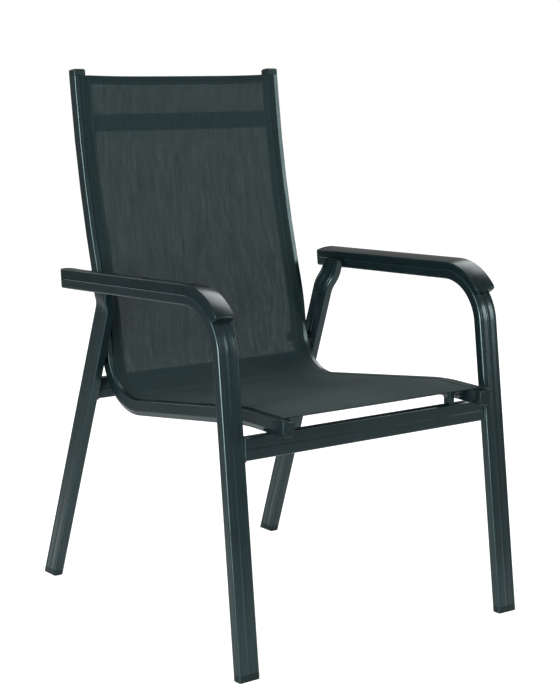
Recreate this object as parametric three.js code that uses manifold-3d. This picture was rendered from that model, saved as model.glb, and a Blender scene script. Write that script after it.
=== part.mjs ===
// Sling patio armchair: a rigid stacking chair of bent, grooved tube with a stretched mesh seat.
// Millimetres, +Z up. The sitter faces -Y and +X is the sitter's left. Z is 0 on the floor.
// Side 1 is the sitter's left (+X) and side -1 the sitter's right (-X).

import * as THREE from 'three';
import { mergeVertices } from 'three/addons/utils/BufferGeometryUtils.js';
import Module from 'manifold-3d';

const wasm = await Module();
wasm.setup();

// Fits and clearances
const touchGap = 0.3; // between two pieces that touch
const holeClearance = 0.4; // between a shank and its hole, on the radius
const plugClearance = 0.3; // between a plug and the bore of its tube
const toolOverrun = 6; // how far a cutter runs past what it cuts
const toolReach = 3000; // size of the slabs that trim the tube ends level
const weldTolerance = 0.0001;

// Grooved tube of the side frames and the rear legs
const tubeWidth = 40;
const tubeDepth = 18;
const tubeCorner = 3.5;
const tubeWall = 1.6;
const tubeRim = 4; // flat edge strip outside the outer grooves
const grooveWidth = 4;
const centreGrooveWidth = 5;
const grooveDepth = 1;

// Cross bars
const barHeight = 38;
const barDepth = 17;
const barCorner = 2.5;
const barGrooveWidth = 3;
const barWall = 1.6;
const frontBarZ = 362.5;
const rearBarZ = 381;
const frontBarSetback = 1.8; // front bar's middle behind the leg's middle line
const rearBarAdvance = 3.5; // rear bar's middle ahead of the leg's middle line

// Sling rail: one bent extrusion a side, drawn along its outer front edge
const railWidth = 24;
const railBackWidth = 16;
const railDepth = 28;
const railTaper = 9; // length of the drawn-in back of the section
const railCorner = 2.6;
const railWall = 1.8;
const shoulderDrop = 0.3; // inner shoulder below the outer lip
const slotWidth = 3;
const channelRadius = 3.7;
const channelDepth = 6.2; // middle of the rod channel below the outer lip
const railMiddleX = 214.4; // middle of the section at the top end
const railToe = 0.46; // degrees, the rails close towards the front

// Line of the rail, from the seat's front edge to the top of the back
const seatFrontY = -343.6;
const seatFrontZ = 412.8;
const frontRun = 70.9;
const frontRise = 1.4; // degrees above level, going back
const waterfallRadius = 340;
const seatFall = 7; // degrees below level, going back
const seatRun = 299.7;
const seatCornerRadius = 81.9;
const lowerBackLean = 8.1; // degrees from upright
const lowerBackRun = 47.8;
const lumbarRadius = 349;
const middleBackLean = 16.1;
const middleBackRun = 36.7;
const backBowRadius = 2090;
const topLean = 6.8;
const topRun = 31;

// Side frame: front leg and arm in one tube
const frontFootX = 281.3;
const frontLegLean = 6.7; // degrees back from upright
const armRise = 1.9; // degrees, the arm climbs towards the front
const armCornerZ = 593.5; // where the middle lines of leg and arm would meet
const armBendRadius = 86;
const armRearY = 181.5;
const sideTilt = 0.57; // degrees, the frame leans in at the top
const sideToe = 1.15; // degrees, the frame opens towards the rear

// Rear leg
const rearFootY = 334.3;
const rearLegSplay = 1.09; // degrees, the foot stands out sideways
const jogStartZ = 532;
const jogRadius = 32;
const rearLegTopZ = 586;
const boltBehindLeg = 3.4; // rear bolt behind the leg's middle line

// Feet and end caps
const footHeight = 11;
const footPlugLength = 22;
const capPlate = 2; // closing plate of the rear leg's top
const armPlugPlate = 4;
const tubePlugLength = 18;
const topCapHeight = 12;
const topCapChamfer = 2.2;
const frontCapLength = 12;
const frontCapChamfer = 1.6;
const frontCapDrop = 3.2; // inner part of its top, below the outer lip
const railPlugLength = 20;

// Sling and its edge rods
const slingThickness = 1;
const hemThickness = 1.6;
const hemWidth = 20;
const slingLift = 0.9; // underside of the hem above the rail's inner shoulder
const slingSag = 1;
const rodRadius = 3;

// Upper spreader bar behind the back
const spreaderHeight = 31;
const spreaderDepth = 12;
const spreaderCorner = 2;
const spreaderWall = 1.5;
const spreaderBelowTop = 84; // its middle below the rail's end, along the rail
const spreaderBehind = 12; // its front face behind the rail's outer lip

// Arm pad
const padWidth = 42;
const padOuterHeight = 16.5;
const padInnerHeight = 12.5;
const padCrown = 1.6; // rise of the middle above the straight line between both edges
const padEdgeRadius = 3;
const padLipAngle = 37; // degrees above level where the pad ends on the bend

// Fasteners
const boltDepth = 16; // bolts below the rail's outer lip
const frontBoltSetback = 47.5;
const rearBoltBelowBend = 8; // rear bolt before the end of the seat bend, along the rail
const boltRadius = 3;
const boltHeadRadius = 5.5;
const boltHeadHeight = 4;
const nutBodyRadius = 4;
const nutFlangeRadius = 6;
const nutFlangeHeight = 1;
const nutLength = 9;
const frontSpacerRadius = 4.6;
const frontSpacerLength = 11;
const rearSpacerRadius = 8;
const rearSpacerLength = 9.4;
const spacerPlay = 0.4; // at each end of the rear spacer, whose faces stand a little askew
const boltCapRadius = 9;
const boltCapHeight = 11;
const boltCapWall = 1.6;
const postWidth = 10.5;
const postDepth = 17;
const postCorner = 1.5;
const postAboveBolt = 8;
const screwRadius = 2;
const screwHeadRadius = 4;
const screwHeadHeight = 2.4;
const screwInPad = 9;
const screwRearInset = 50; // rear pad screw ahead of the arm's rear end
const screwSpacing = 260;

// Steps round the bends and round things
const lipBendSteps = 4; // from the leg to the pad's lip
const padBendSteps = 6; // from the lip to the arm
const seatBendSteps = 11;
const gentleBendSteps = 3;
const jogSteps = 3;
const roundSides = 12;
const rodSides = 8;
const crownSteps = 6;
const sagSteps = 8;

// Finishes
const powderCoat = { color: 0x2b3334, roughness: 0.42, metalness: 0.35 };
const meshFabric = { color: 0x3a4647, roughness: 0.85, metalness: 0 };
const moulding = { color: 0x252b2c, roughness: 0.55, metalness: 0 };
const padMoulding = { color: 0x2d3536, roughness: 0.38, metalness: 0 };
const zincPlate = { color: 0x6d7376, roughness: 0.35, metalness: 0.9 };

const radians = THREE.MathUtils.degToRad;
const sine = (degrees) => Math.sin(radians(degrees));
const cosine = (degrees) => Math.cos(radians(degrees));
const tangent = (degrees) => Math.tan(radians(degrees));
const quarterTurn = 90;

// A bent line in the YZ plane, made of straight runs and arcs. A heading is the angle from +Y
// towards +Z, in degrees. Sections drawn along it keep +Y of the drawing on the line's left.
class BentLine extends THREE.Curve {
  constructor(y, z, heading) {
    super();
    this.stations = [{ y, z, heading, along: 0 }];
  }

  get last() {
    return this.stations[this.stations.length - 1];
  }

  get steps() {
    return this.stations.length - 1;
  }

  step(length, turn) {
    const { y, z, heading, along } = this.last;
    const aim = heading + turn / 2;
    const chord = turn === 0 ? length : (length * sine(turn / 2)) / radians(turn / 2);
    this.stations.push({
      y: y + chord * cosine(aim),
      z: z + chord * sine(aim),
      heading: heading + turn,
      along: along + length,
    });
  }

  run(length) {
    this.step(length, 0);
    return this;
  }

  bendTo(heading, radius, steps) {
    const turn = (heading - this.last.heading) / steps;
    for (let i = 0; i < steps; i += 1) this.step(radius * radians(Math.abs(turn)), turn);
    return this;
  }

  getPointAt(share, target = new THREE.Vector3()) {
    const { y, z } = this.stations[Math.round(share * this.steps)];
    return target.set(0, y, z);
  }

  getTangentAt(share, target = new THREE.Vector3()) {
    const { heading } = this.stations[Math.round(share * this.steps)];
    return target.set(0, cosine(heading), sine(heading));
  }

  // The place at a distance along the line, and beside it by an offset to the line's left.
  placeAt(along, offset = 0) {
    const next = Math.max(1, this.stations.findIndex((s) => s.along >= along));
    const a = this.stations[next - 1];
    const b = this.stations[next];
    const share = (along - a.along) / (b.along - a.along);
    const heading = THREE.MathUtils.lerp(a.heading, b.heading, share);
    const y = THREE.MathUtils.lerp(a.y, b.y, share) - offset * sine(heading);
    const z = THREE.MathUtils.lerp(a.z, b.z, share) + offset * cosine(heading);
    return { y, z, heading };
  }
}

// Outline helpers
function point(x, y) {
  return new THREE.Vector2(x, y);
}

function arc(x, y, radius, from, to, steps) {
  return Array.from({ length: steps + 1 }, (_, i) => {
    const angle = from + ((to - from) * i) / steps;
    return point(x + radius * cosine(angle), y + radius * sine(angle));
  });
}

function roundedBox(width, height, radius, grooves = []) {
  const x = width / 2 - radius;
  const y = height / 2 - radius;
  const cuts = grooves.flatMap(({ at, wide, deep }) => [
    point(at + wide / 2, height / 2),
    point(at + wide / 2 - deep, height / 2 - deep),
    point(at - wide / 2 + deep, height / 2 - deep),
    point(at - wide / 2, height / 2),
  ]);
  const top = [
    ...arc(x, y, radius, 0, quarterTurn, 2),
    ...cuts,
    ...arc(-x, y, radius, quarterTurn, 2 * quarterTurn, 2),
  ];
  return [...top, ...top.map((p) => point(-p.x, -p.y))];
}

function flatShape(outline, hollow = null) {
  const clockwise = THREE.ShapeUtils.isClockWise(outline);
  const shape = new THREE.Shape(clockwise ? [...outline].reverse() : outline);
  if (hollow) shape.holes.push(new THREE.Path(hollow));
  return shape;
}

// Swept sections have their first drawing axis towards -X, so an outline given as outward and up
// is turned over for the sitter's left side.
function shapeOf(outline, side = 1, hollow = null) {
  const flip = (points) => points.map((p) => point(-side * p.x, p.y));
  return flatShape(flip(outline), hollow ? flip(hollow) : null);
}

// A solid through copies of one outline at several heights, each drawn in by an inset
function loft(outline, levels) {
  const box = new THREE.Box2().setFromPoints(outline);
  const middle = box.getCenter(new THREE.Vector2());
  const half = box.getSize(new THREE.Vector2()).divideScalar(2);
  const ring = THREE.ShapeUtils.isClockWise(outline) ? [...outline].reverse() : outline;
  const count = ring.length;
  const places = levels.flatMap(({ height, inset }) => ring.flatMap((p) => [
    middle.x + (p.x - middle.x) * (1 - inset / half.x),
    middle.y + (p.y - middle.y) * (1 - inset / half.y),
    height,
  ]));
  const lid = THREE.ShapeUtils.triangulateShape(ring, []);
  const top = (levels.length - 1) * count;
  const faces = lid.flatMap(([a, b, c]) => [a, c, b, top + a, top + b, top + c]);
  for (let level = 0; level < levels.length - 1; level += 1) {
    for (let i = 0; i < count; i += 1) {
      const low = level * count;
      const [a, b] = [low + i, low + ((i + 1) % count)];
      faces.push(a, b, b + count, a, b + count, a + count);
    }
  }
  const geometry = new THREE.BufferGeometry();
  geometry.setAttribute('position', new THREE.Float32BufferAttribute(places, 3));
  geometry.setIndex(faces);
  geometry.computeVertexNormals();
  geometry.userData.welded = true;
  return geometry;
}

function sweep(shape, line) {
  return new THREE.ExtrudeGeometry(shape, { steps: line.steps, extrudePath: line });
}

function extrude(outline, depth, hollow = null) {
  return new THREE.ExtrudeGeometry(flatShape(outline, hollow), { depth, bevelEnabled: false });
}

// Joins and cuts. A geometry that comes from a solid is welded already. Welding draws the quads
// at the poles of a turned piece together, and their empty triangles are left out.
function weld(geometry) {
  if (geometry.userData.welded) return geometry;
  const bare = geometry.clone();
  bare.deleteAttribute('normal');
  bare.deleteAttribute('uv');
  const merged = mergeVertices(bare, weldTolerance);
  const corners = merged.index.array;
  const kept = [];
  for (let i = 0; i < corners.length; i += 3) {
    const [a, b, c] = corners.slice(i, i + 3);
    if (a !== b && b !== c && c !== a) kept.push(a, b, c);
  }
  return merged.setIndex(kept);
}

function toSolid(geometry) {
  const merged = weld(geometry);
  const vertProperties = new Float32Array(merged.attributes.position.array);
  const triVerts = new Uint32Array(merged.index.array);
  return new wasm.Manifold(new wasm.Mesh({ numProp: 3, vertProperties, triVerts }));
}

function toGeometry(solid) {
  const { vertProperties, triVerts } = solid.getMesh();
  const geometry = new THREE.BufferGeometry();
  geometry.setAttribute('position', new THREE.BufferAttribute(new Float32Array(vertProperties), 3));
  geometry.setIndex(new THREE.BufferAttribute(new Uint32Array(triVerts), 1));
  geometry.computeVertexNormals();
  geometry.userData.welded = true;
  return geometry;
}

function join(first, second) {
  return toGeometry(toSolid(first).add(toSolid(second)));
}

function cut(body, ...tools) {
  return toGeometry(tools.reduce((solid, tool) => solid.subtract(toSolid(tool)), toSolid(body)));
}

// Keeps what lies between two heights of the finished chair. The placement takes the geometry's
// own axes to the chair's.
function between(geometry, placement, low, high) {
  const slab = new THREE.BoxGeometry(toolReach, toolReach, high - low);
  slab.translate(0, 0, (low + high) / 2);
  slab.applyMatrix4(placement.clone().invert());
  return toGeometry(toSolid(geometry).intersect(toSolid(slab)));
}

// A round piece along X, turned from steps of radius and place. It starts and ends on its axis.
function turned(profile, count = roundSides) {
  const lathe = new THREE.LatheGeometry(profile.map(([r, x]) => point(r, x)), count);
  return lathe.rotateZ(radians(-quarterTurn));
}

function pin(radius, from, to, count = roundSides) {
  const [low, high] = [Math.min(from, to), Math.max(from, to)];
  return turned([[0, low], [radius, low], [radius, high], [0, high]], count);
}

function moved(geometry, x, y, z) {
  return geometry.clone().translate(x, y, z);
}

function mesh(name, geometry, finish, placement = null) {
  const piece = new THREE.Mesh(geometry, new THREE.MeshStandardMaterial(finish));
  piece.name = name;
  if (placement) piece.applyMatrix4(placement);
  return piece;
}

const chair = new THREE.Group();
const sides = [[1, 'left'], [-1, 'right']];

// Lines of the bent members
function railLine() {
  return new BentLine(seatFrontY, seatFrontZ, frontRise)
    .run(frontRun)
    .bendTo(-seatFall, waterfallRadius, gentleBendSteps)
    .run(seatRun)
    .bendTo(quarterTurn - lowerBackLean, seatCornerRadius, seatBendSteps)
    .run(lowerBackRun)
    .bendTo(quarterTurn - middleBackLean, lumbarRadius, gentleBendSteps)
    .run(middleBackRun)
    .bendTo(quarterTurn - topLean, backBowRadius, gentleBendSteps)
    .run(topRun);
}

const rail = railLine();
const seatBendEnd = rail.stations[2 + gentleBendSteps + seatBendSteps].along;
const frontBolt = rail.placeAt(frontBoltSetback, -boltDepth);
const rearBolt = rail.placeAt(seatBendEnd - rearBoltBelowBend, -boltDepth);
const spreaderPlace = rail.placeAt(rail.last.along - spreaderBelowTop, -spreaderBehind - spreaderDepth / 2);
const railMiddle = (y) => railMiddleX + tangent(railToe) * (y - rail.last.y);

const frontFootY = frontBolt.y - frontBarSetback - frontBarZ * tangent(frontLegLean);
const armTurn = quarterTurn - frontLegLean + armRise;
const armTrim = armBendRadius * tangent(armTurn / 2);
const armCornerY = frontFootY + armCornerZ * tangent(frontLegLean);
const legRun = armCornerZ / cosine(frontLegLean) - armTrim;
const armRun = (armRearY - armCornerY) / cosine(armRise) - armTrim;
const armEnd = legRun + armBendRadius * radians(armTurn) + armRun;

// In the side frame's own plane, from below the floor to the arm's rear end
const lipHeading = quarterTurn - padLipAngle;

function sideLine() {
  const heading = quarterTurn - frontLegLean;
  const below = footHeight;
  return new BentLine(-below * cosine(heading), -below * sine(heading), heading)
    .run(legRun + below)
    .bendTo(lipHeading, armBendRadius, lipBendSteps)
    .bendTo(-armRise, armBendRadius, padBendSteps)
    .run(armRun);
}

// Placements of the side frames and the rear legs. The side frame's middle plane leans in and
// opens to the rear from the foot.
function sidePlacement(side) {
  const turn = new THREE.Euler(0, -side * radians(sideTilt), -side * radians(sideToe), 'ZYX');
  return new THREE.Matrix4()
    .makeRotationFromEuler(turn)
    .setPosition(side * frontFootX, frontFootY, 0);
}

// How far from the chair's middle the frame's middle plane and its inner face lie
function sideMiddle(y, z) {
  const lean = (tangent(sideTilt) * z) / cosine(sideToe);
  return frontFootX + tangent(sideToe) * (y - frontFootY) - lean;
}

function sideInner(y, z) {
  return sideMiddle(y, z) - tubeWidth / 2 / (cosine(sideToe) * cosine(sideTilt));
}

const railOuterAtBolt = railMiddle(rearBolt.y) + railWidth / 2 / cosine(railToe);
const rearNutX = railOuterAtBolt + rearSpacerLength + 2 * spacerPlay;
const legInnerAtBolt = rearNutX + nutFlangeHeight + spacerPlay;
const rearLegLean = THREE.MathUtils.radToDeg(
  Math.atan((rearFootY - rearBolt.y + boltBehindLeg) / rearBolt.z),
);
const splaySlope = tangent(rearLegSplay) / cosine(rearLegLean);
const rearFootX = legInnerAtBolt + tubeDepth / 2 / cosine(rearLegSplay) + rearBolt.z * splaySlope;
const rearLegY = (z) => rearFootY - z * tangent(rearLegLean);
const rearLegX = (z) => rearFootX - z * splaySlope;

function rearPlacement(side) {
  return new THREE.Matrix4()
    .makeRotationX(radians(rearLegLean))
    .multiply(new THREE.Matrix4().makeRotationZ(-side * radians(quarterTurn)))
    .setPosition(side * rearFootX, rearFootY, 0);
}

// The rear leg runs up its own plane, +Y outward, then steps out to lie against the arm tube.
function rearLine() {
  const start = quarterTurn + rearLegSplay;
  const end = quarterTurn + sideTilt;
  const chord = tubeWidth / cosine(rearLegLean);
  const armInner = sideInner(rearLegY(rearLegTopZ) - chord / 2, rearLegTopZ);
  const jogOut = armInner - touchGap - tubeDepth / 2 - rearLegX(jogStartZ);
  const slant = (sine(start) + sine(end) - jogOut / jogRadius) / 2;
  const jogHeading = THREE.MathUtils.radToDeg(Math.asin(slant));
  const below = footHeight + tubeWidth;
  const line = new BentLine(-below * cosine(start), -below * sine(start), start)
    .run(below + jogStartZ / (cosine(rearLegLean) * cosine(rearLegSplay)))
    .bendTo(jogHeading, jogRadius, jogSteps)
    .bendTo(end, jogRadius, jogSteps);
  return line.run((rearLegTopZ + tubeWidth) / cosine(rearLegLean) - line.last.z);
}

// Sections
const outerGroove = tubeWidth / 2 - tubeRim - grooveWidth / 2;
const tubeGrooves = [
  { at: outerGroove, wide: grooveWidth, deep: grooveDepth },
  { at: 0, wide: centreGrooveWidth, deep: grooveDepth },
  { at: -outerGroove, wide: grooveWidth, deep: grooveDepth },
];
const tubeOutline = roundedBox(tubeWidth, tubeDepth, tubeCorner, tubeGrooves);
const smoothTubeOutline = roundedBox(tubeWidth, tubeDepth, tubeCorner);
const tubeBoreWidth = tubeWidth - 2 * tubeWall;
const tubeBoreDepth = tubeDepth - 2 * tubeWall - 2 * grooveDepth;
const tubeBoreCorner = tubeCorner - tubeWall;
const tubeBore = roundedBox(tubeBoreWidth, tubeBoreDepth, tubeBoreCorner);
const tubePlug = roundedBox(
  tubeBoreWidth - 2 * plugClearance,
  tubeBoreDepth - 2 * plugClearance,
  tubeBoreCorner,
);

// The rail's section, outward and up from the middle of its outer lip's height.
const channelOpening = THREE.MathUtils.radToDeg(Math.asin(slotWidth / 2 / channelRadius));
const railHalf = railWidth / 2;
const railBackHalf = railBackWidth / 2;
const railTaperStart = railTaper - railDepth;
const railBack = [
  point(railHalf, railTaperStart),
  ...arc(railBackHalf - railCorner, railCorner - railDepth, railCorner, 0, -quarterTurn, 2),
  ...arc(railCorner - railBackHalf, railCorner - railDepth, railCorner, -quarterTurn, -2 * quarterTurn, 2),
  point(-railHalf, railTaperStart),
];
const railLip = arc(railHalf - railCorner, -railCorner, railCorner, quarterTurn, 0, 3);
const railShoulder = arc(
  railCorner - railHalf, -shoulderDrop - railCorner, railCorner, 2 * quarterTurn, quarterTurn, 2,
);
const railOutline = [
  point(slotWidth / 2, 0),
  ...railLip,
  ...railBack,
  ...railShoulder,
  point(-slotWidth / 2, -shoulderDrop),
  ...arc(
    0, -channelDepth, channelRadius,
    quarterTurn + channelOpening, 5 * quarterTurn - channelOpening, rodSides,
  ),
];
const chamberTop = -channelDepth - channelRadius - railWall;
const chamberOutline = [
  point(railHalf - railWall, chamberTop),
  point(railHalf - railWall, railTaperStart),
  point(railBackHalf - railWall, railWall - railDepth),
  point(railWall - railBackHalf, railWall - railDepth),
  point(railWall - railHalf, railTaperStart),
  point(railWall - railHalf, chamberTop),
];
const chamberPlug = chamberOutline.map((p) => {
  const inward = p.x > 0 ? -plugClearance : plugClearance;
  return point(p.x + inward, p.y + (p.y === chamberTop ? -plugClearance : plugClearance));
});

// Rails, each turned a little about the upright through its top end
function railPlacement(side) {
  return new THREE.Matrix4()
    .makeRotationZ(-side * radians(railToe))
    .setPosition(side * railMiddleX, rail.last.y, 0);
}

function ownRailLine() {
  const line = railLine();
  for (const station of line.stations) station.y -= rail.last.y;
  return line;
}

// Round holes along X, in the rail's own axes
function railHole(side, place, radius, from, to) {
  return moved(pin(radius, side * from, side * to), 0, place.y - rail.last.y, place.z);
}

for (const [side, name] of sides) {
  const placement = railPlacement(side);
  const inside = -railHalf - toolOverrun;
  const outside = railHalf + toolOverrun;
  const body = cut(
    sweep(shapeOf(railOutline, side, chamberOutline), ownRailLine()),
    railHole(side, frontBolt, nutBodyRadius + holeClearance, inside, 0),
    railHole(side, rearBolt, boltRadius + holeClearance, inside, outside),
  );
  chair.add(mesh(`sling_rail_${name}`, body, powderCoat, placement));
}

// Rods that hold the sling's edges in the channels
const rodOutline = arc(0, -channelDepth, rodRadius, 0, 4 * quarterTurn, rodSides).slice(1);
for (const [side, name] of sides) {
  const rod = sweep(shapeOf(rodOutline, side), ownRailLine());
  chair.add(mesh(`keder_rod_${name}`, rod, moulding, railPlacement(side)));
}

// Heads and plates that close the open ends. A piece drawn flat stands on the end of a line, its
// depth along the heading or against it.
function onEnd(geometry, place, forward) {
  if (forward) geometry.rotateY(radians(2 * quarterTurn));
  geometry.rotateX(radians(place.heading + quarterTurn));
  return geometry.translate(0, place.y, place.z);
}

function turnedOver(outline, side) {
  return outline.map((p) => point(side * p.x, p.y));
}

// A block of an outline with its far edges drawn in
function chamferedBlock(outline, length, chamfer) {
  return loft(outline, [
    { height: 0, inset: 0 },
    { height: length - chamfer, inset: 0 },
    { height: length, inset: chamfer },
  ]);
}

// A head with a plug behind it. The head stands a touch off the tube's end.
function plugged(head, plugOutline, plugLength) {
  const overlap = touchGap + capPlate / 2;
  const plug = extrude(plugOutline, plugLength + overlap).translate(0, 0, -plugLength);
  return join(head.translate(0, 0, touchGap), plug);
}

const topCapOutline = [...railLip, ...railBack, ...railShoulder];
const frontCapOutline = [
  point(slotWidth, 0),
  ...railLip,
  ...railBack,
  ...railShoulder.map((p) => point(p.x, p.y + shoulderDrop - frontCapDrop)),
  point(slotWidth / 2, -frontCapDrop),
];

for (const [side, name] of sides) {
  const [front] = ownRailLine().stations;
  const top = ownRailLine().last;
  const topHead = chamferedBlock(turnedOver(topCapOutline, -side), topCapHeight, topCapChamfer);
  const topCap = plugged(topHead, turnedOver(chamberPlug, -side), railPlugLength);
  const frontHead = chamferedBlock(
    turnedOver(frontCapOutline, side), frontCapLength - touchGap, frontCapChamfer,
  );
  const frontCap = plugged(frontHead, turnedOver(chamberPlug, side), railPlugLength);
  const placement = railPlacement(side);
  chair.add(mesh(`rail_top_cap_${name}`, onEnd(topCap, top, true), moulding, placement));
  chair.add(mesh(`rail_front_cap_${name}`, onEnd(frontCap, front, false), moulding, placement));
}

// Sling: one stretched sheet whose hemmed edges go down the slots of both rails
const rodTop = rodRadius - channelDepth;
const hemBottom = slingLift - shoulderDrop;
const hemTop = hemBottom + hemThickness;
const hemInner = railMiddleX - hemWidth;
const tongueOuter = railMiddleX + hemThickness / 2;
const tongueInner = railMiddleX - hemThickness / 2;
const sagAt = (x) => slingSag * (1 - (x / hemInner) ** 2);
const across = Array.from({ length: sagSteps + 1 }, (_, i) => hemInner * (1 - (2 * i) / sagSteps));
const slingOutline = [
  point(tongueOuter, rodTop + touchGap),
  point(tongueOuter, hemTop),
  ...across.map((x) => point(x, hemTop - sagAt(x))),
  point(-tongueOuter, hemTop),
  point(-tongueOuter, rodTop + touchGap),
  point(-tongueInner, rodTop + touchGap),
  point(-tongueInner, hemBottom),
  point(-hemInner, hemBottom),
  ...across.map((x) => point(-x, hemTop - slingThickness - sagAt(x))),
  point(hemInner, hemBottom),
  point(tongueInner, hemBottom),
  point(tongueInner, rodTop + touchGap),
];

const sling = sweep(shapeOf(slingOutline), railLine());
const slingPoints = sling.attributes.position;
for (let i = 0; i < slingPoints.count; i += 1) {
  const x = slingPoints.getX(i);
  const share = THREE.MathUtils.clamp(x / hemInner, -1, 1);
  slingPoints.setX(i, x + share * tangent(railToe) * (slingPoints.getY(i) - rail.last.y));
}
sling.computeVertexNormals();
chair.add(mesh('sling', sling, meshFabric));

// Bars across the chair
function crossBar(outline, bore, half, { y, z }, tilt = 0) {
  const bar = extrude(outline, 2 * half, bore).translate(0, 0, -half);
  return bar.rotateY(radians(quarterTurn)).rotateX(radians(tilt)).translate(0, y, z);
}

const barGroove = [{ at: 0, wide: barGrooveWidth, deep: grooveDepth }];
const barOutline = roundedBox(barHeight, barDepth, barCorner, barGroove);
const barBore = roundedBox(
  barHeight - 2 * barWall, barDepth - 2 * barWall - 2 * grooveDepth, barCorner - barWall,
);
const frontBar = { y: frontBolt.y, z: frontBarZ };
const rearBar = { y: rearLegY(rearBarZ) - rearBarAdvance, z: rearBarZ };
const frontBarHalf = sideInner(frontBar.y - barDepth / 2, frontBarZ + barHeight / 2) - touchGap;
const rearLegInner = (z) => rearLegX(z) - tubeDepth / 2 / cosine(rearLegSplay);
const rearBarHalf = rearLegInner(rearBarZ + barHeight / 2) - touchGap;
chair.add(mesh('front_crossbar', crossBar(barOutline, barBore, frontBarHalf, frontBar), powderCoat));
chair.add(mesh('rear_crossbar', crossBar(barOutline, barBore, rearBarHalf, rearBar), powderCoat));

const spreaderOutline = roundedBox(spreaderHeight, spreaderDepth, spreaderCorner);
const spreaderBore = roundedBox(
  spreaderHeight - 2 * spreaderWall, spreaderDepth - 2 * spreaderWall, spreaderCorner - spreaderWall,
);
const spreaderHalf = railMiddle(spreaderPlace.y - spreaderHeight / 2)
  - railHalf / cosine(railToe) - touchGap;
chair.add(mesh(
  'upper_spreader_bar',
  crossBar(spreaderOutline, spreaderBore, spreaderHalf, spreaderPlace, spreaderPlace.heading - quarterTurn),
  powderCoat,
));

// Side frames with their arm pads, end plugs, pad screws and feet
const padBase = tubeDepth / 2 + touchGap;
const padHalf = padWidth / 2;
const crownHalf = padHalf - padEdgeRadius;
const padTop = [
  ...arc(crownHalf, padBase + padOuterHeight - padEdgeRadius, padEdgeRadius, 0, quarterTurn, 2),
  ...Array.from({ length: crownSteps - 1 }, (_, i) => {
    const share = (i + 1) / crownSteps;
    const slope = THREE.MathUtils.lerp(padOuterHeight, padInnerHeight, share);
    const crown = 4 * padCrown * share * (1 - share);
    return point(crownHalf * (1 - 2 * share), padBase + slope + crown);
  }),
  ...arc(
    -crownHalf, padBase + padInnerHeight - padEdgeRadius, padEdgeRadius,
    quarterTurn, 2 * quarterTurn, 2,
  ),
];
const padOutline = [point(padHalf, padBase), ...padTop, point(-padHalf, padBase)];
const armPlugOutline = [
  ...arc(tubeWidth / 2 - tubeCorner, tubeCorner - tubeDepth / 2, tubeCorner, -quarterTurn, 0, 2),
  ...padTop,
  ...arc(
    tubeCorner - tubeWidth / 2, tubeCorner - tubeDepth / 2, tubeCorner,
    2 * quarterTurn, 3 * quarterTurn, 2,
  ),
];

function padLine() {
  const full = sideLine();
  const lip = full.stations[1 + lipBendSteps];
  return new BentLine(lip.y, lip.z, lip.heading)
    .bendTo(-armRise, armBendRadius, padBendSteps)
    .run(armRun);
}

// A turned piece square to the arm, its profile drawn up from the arm's middle line
function onArm(geometry, beforeEnd) {
  const line = sideLine();
  const place = line.placeAt(line.last.along - beforeEnd);
  geometry.rotateY(radians(-quarterTurn)).rotateX(radians(place.heading));
  return geometry.translate(0, place.y, place.z);
}

const screwPlaces = [['rear', screwRearInset], ['front', screwRearInset + screwSpacing]];
const screwSeat = -tubeDepth / 2 - touchGap;
const screwTip = padBase + screwInPad;

for (const [side, name] of sides) {
  const placement = sidePlacement(side);
  const armDrill = screwPlaces.map(([, inset]) => onArm(
    pin(screwRadius + holeClearance, -padBase - toolOverrun, screwTip + touchGap, rodSides), inset,
  ));
  const tube = between(
    sweep(shapeOf(tubeOutline, side, tubeBore), sideLine()),
    placement, footHeight + touchGap, toolReach / 2,
  );
  chair.add(mesh(`side_tube_${name}`, cut(tube, ...armDrill), powderCoat, placement));
  const pad = cut(sweep(shapeOf(padOutline, side), padLine()), ...armDrill);
  chair.add(mesh(`arm_pad_${name}`, pad, padMoulding, placement));
  for (const [where, inset] of screwPlaces) {
    const screw = onArm(turned([
      [0, screwSeat - screwHeadHeight],
      [screwHeadRadius, screwSeat - screwHeadHeight],
      [screwHeadRadius, screwSeat],
      [screwRadius, screwSeat],
      [screwRadius, screwTip],
      [0, screwTip],
    ], rodSides), inset);
    chair.add(mesh(`pad_screw_${where}_${name}`, screw, zincPlate, placement));
  }
  const plate = extrude(turnedOver(armPlugOutline, -side), armPlugPlate);
  const plug = onEnd(plugged(plate, tubePlug, tubePlugLength), sideLine().last, true);
  chair.add(mesh(`arm_end_plug_${name}`, plug, moulding, placement));
}

// A foot: a level-bottomed head as wide as the tube, with a plug up the tube's bore
function foot(line, placement) {
  const head = between(sweep(shapeOf(smoothTubeOutline), line), placement, 0, footHeight);
  const top = footHeight + footPlugLength;
  const plug = between(sweep(shapeOf(tubePlug), line), placement, footHeight / 2, top);
  return join(head, plug);
}

for (const [side, name] of sides) {
  const front = sidePlacement(side);
  const rear = rearPlacement(side);
  chair.add(mesh(`front_foot_${name}`, foot(sideLine(), front), moulding, front));
  chair.add(mesh(`rear_foot_${name}`, foot(rearLine(), rear), moulding, rear));
}

// Rear legs, drilled for the rivet nut, and the plates that close their tops
function legHole(placement, side) {
  const drill = pin(nutBodyRadius + holeClearance, side * (legInnerAtBolt - toolOverrun), side * rearLegX(rearBolt.z));
  return drill.translate(0, rearBolt.y, rearBolt.z).applyMatrix4(placement.clone().invert());
}

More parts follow.
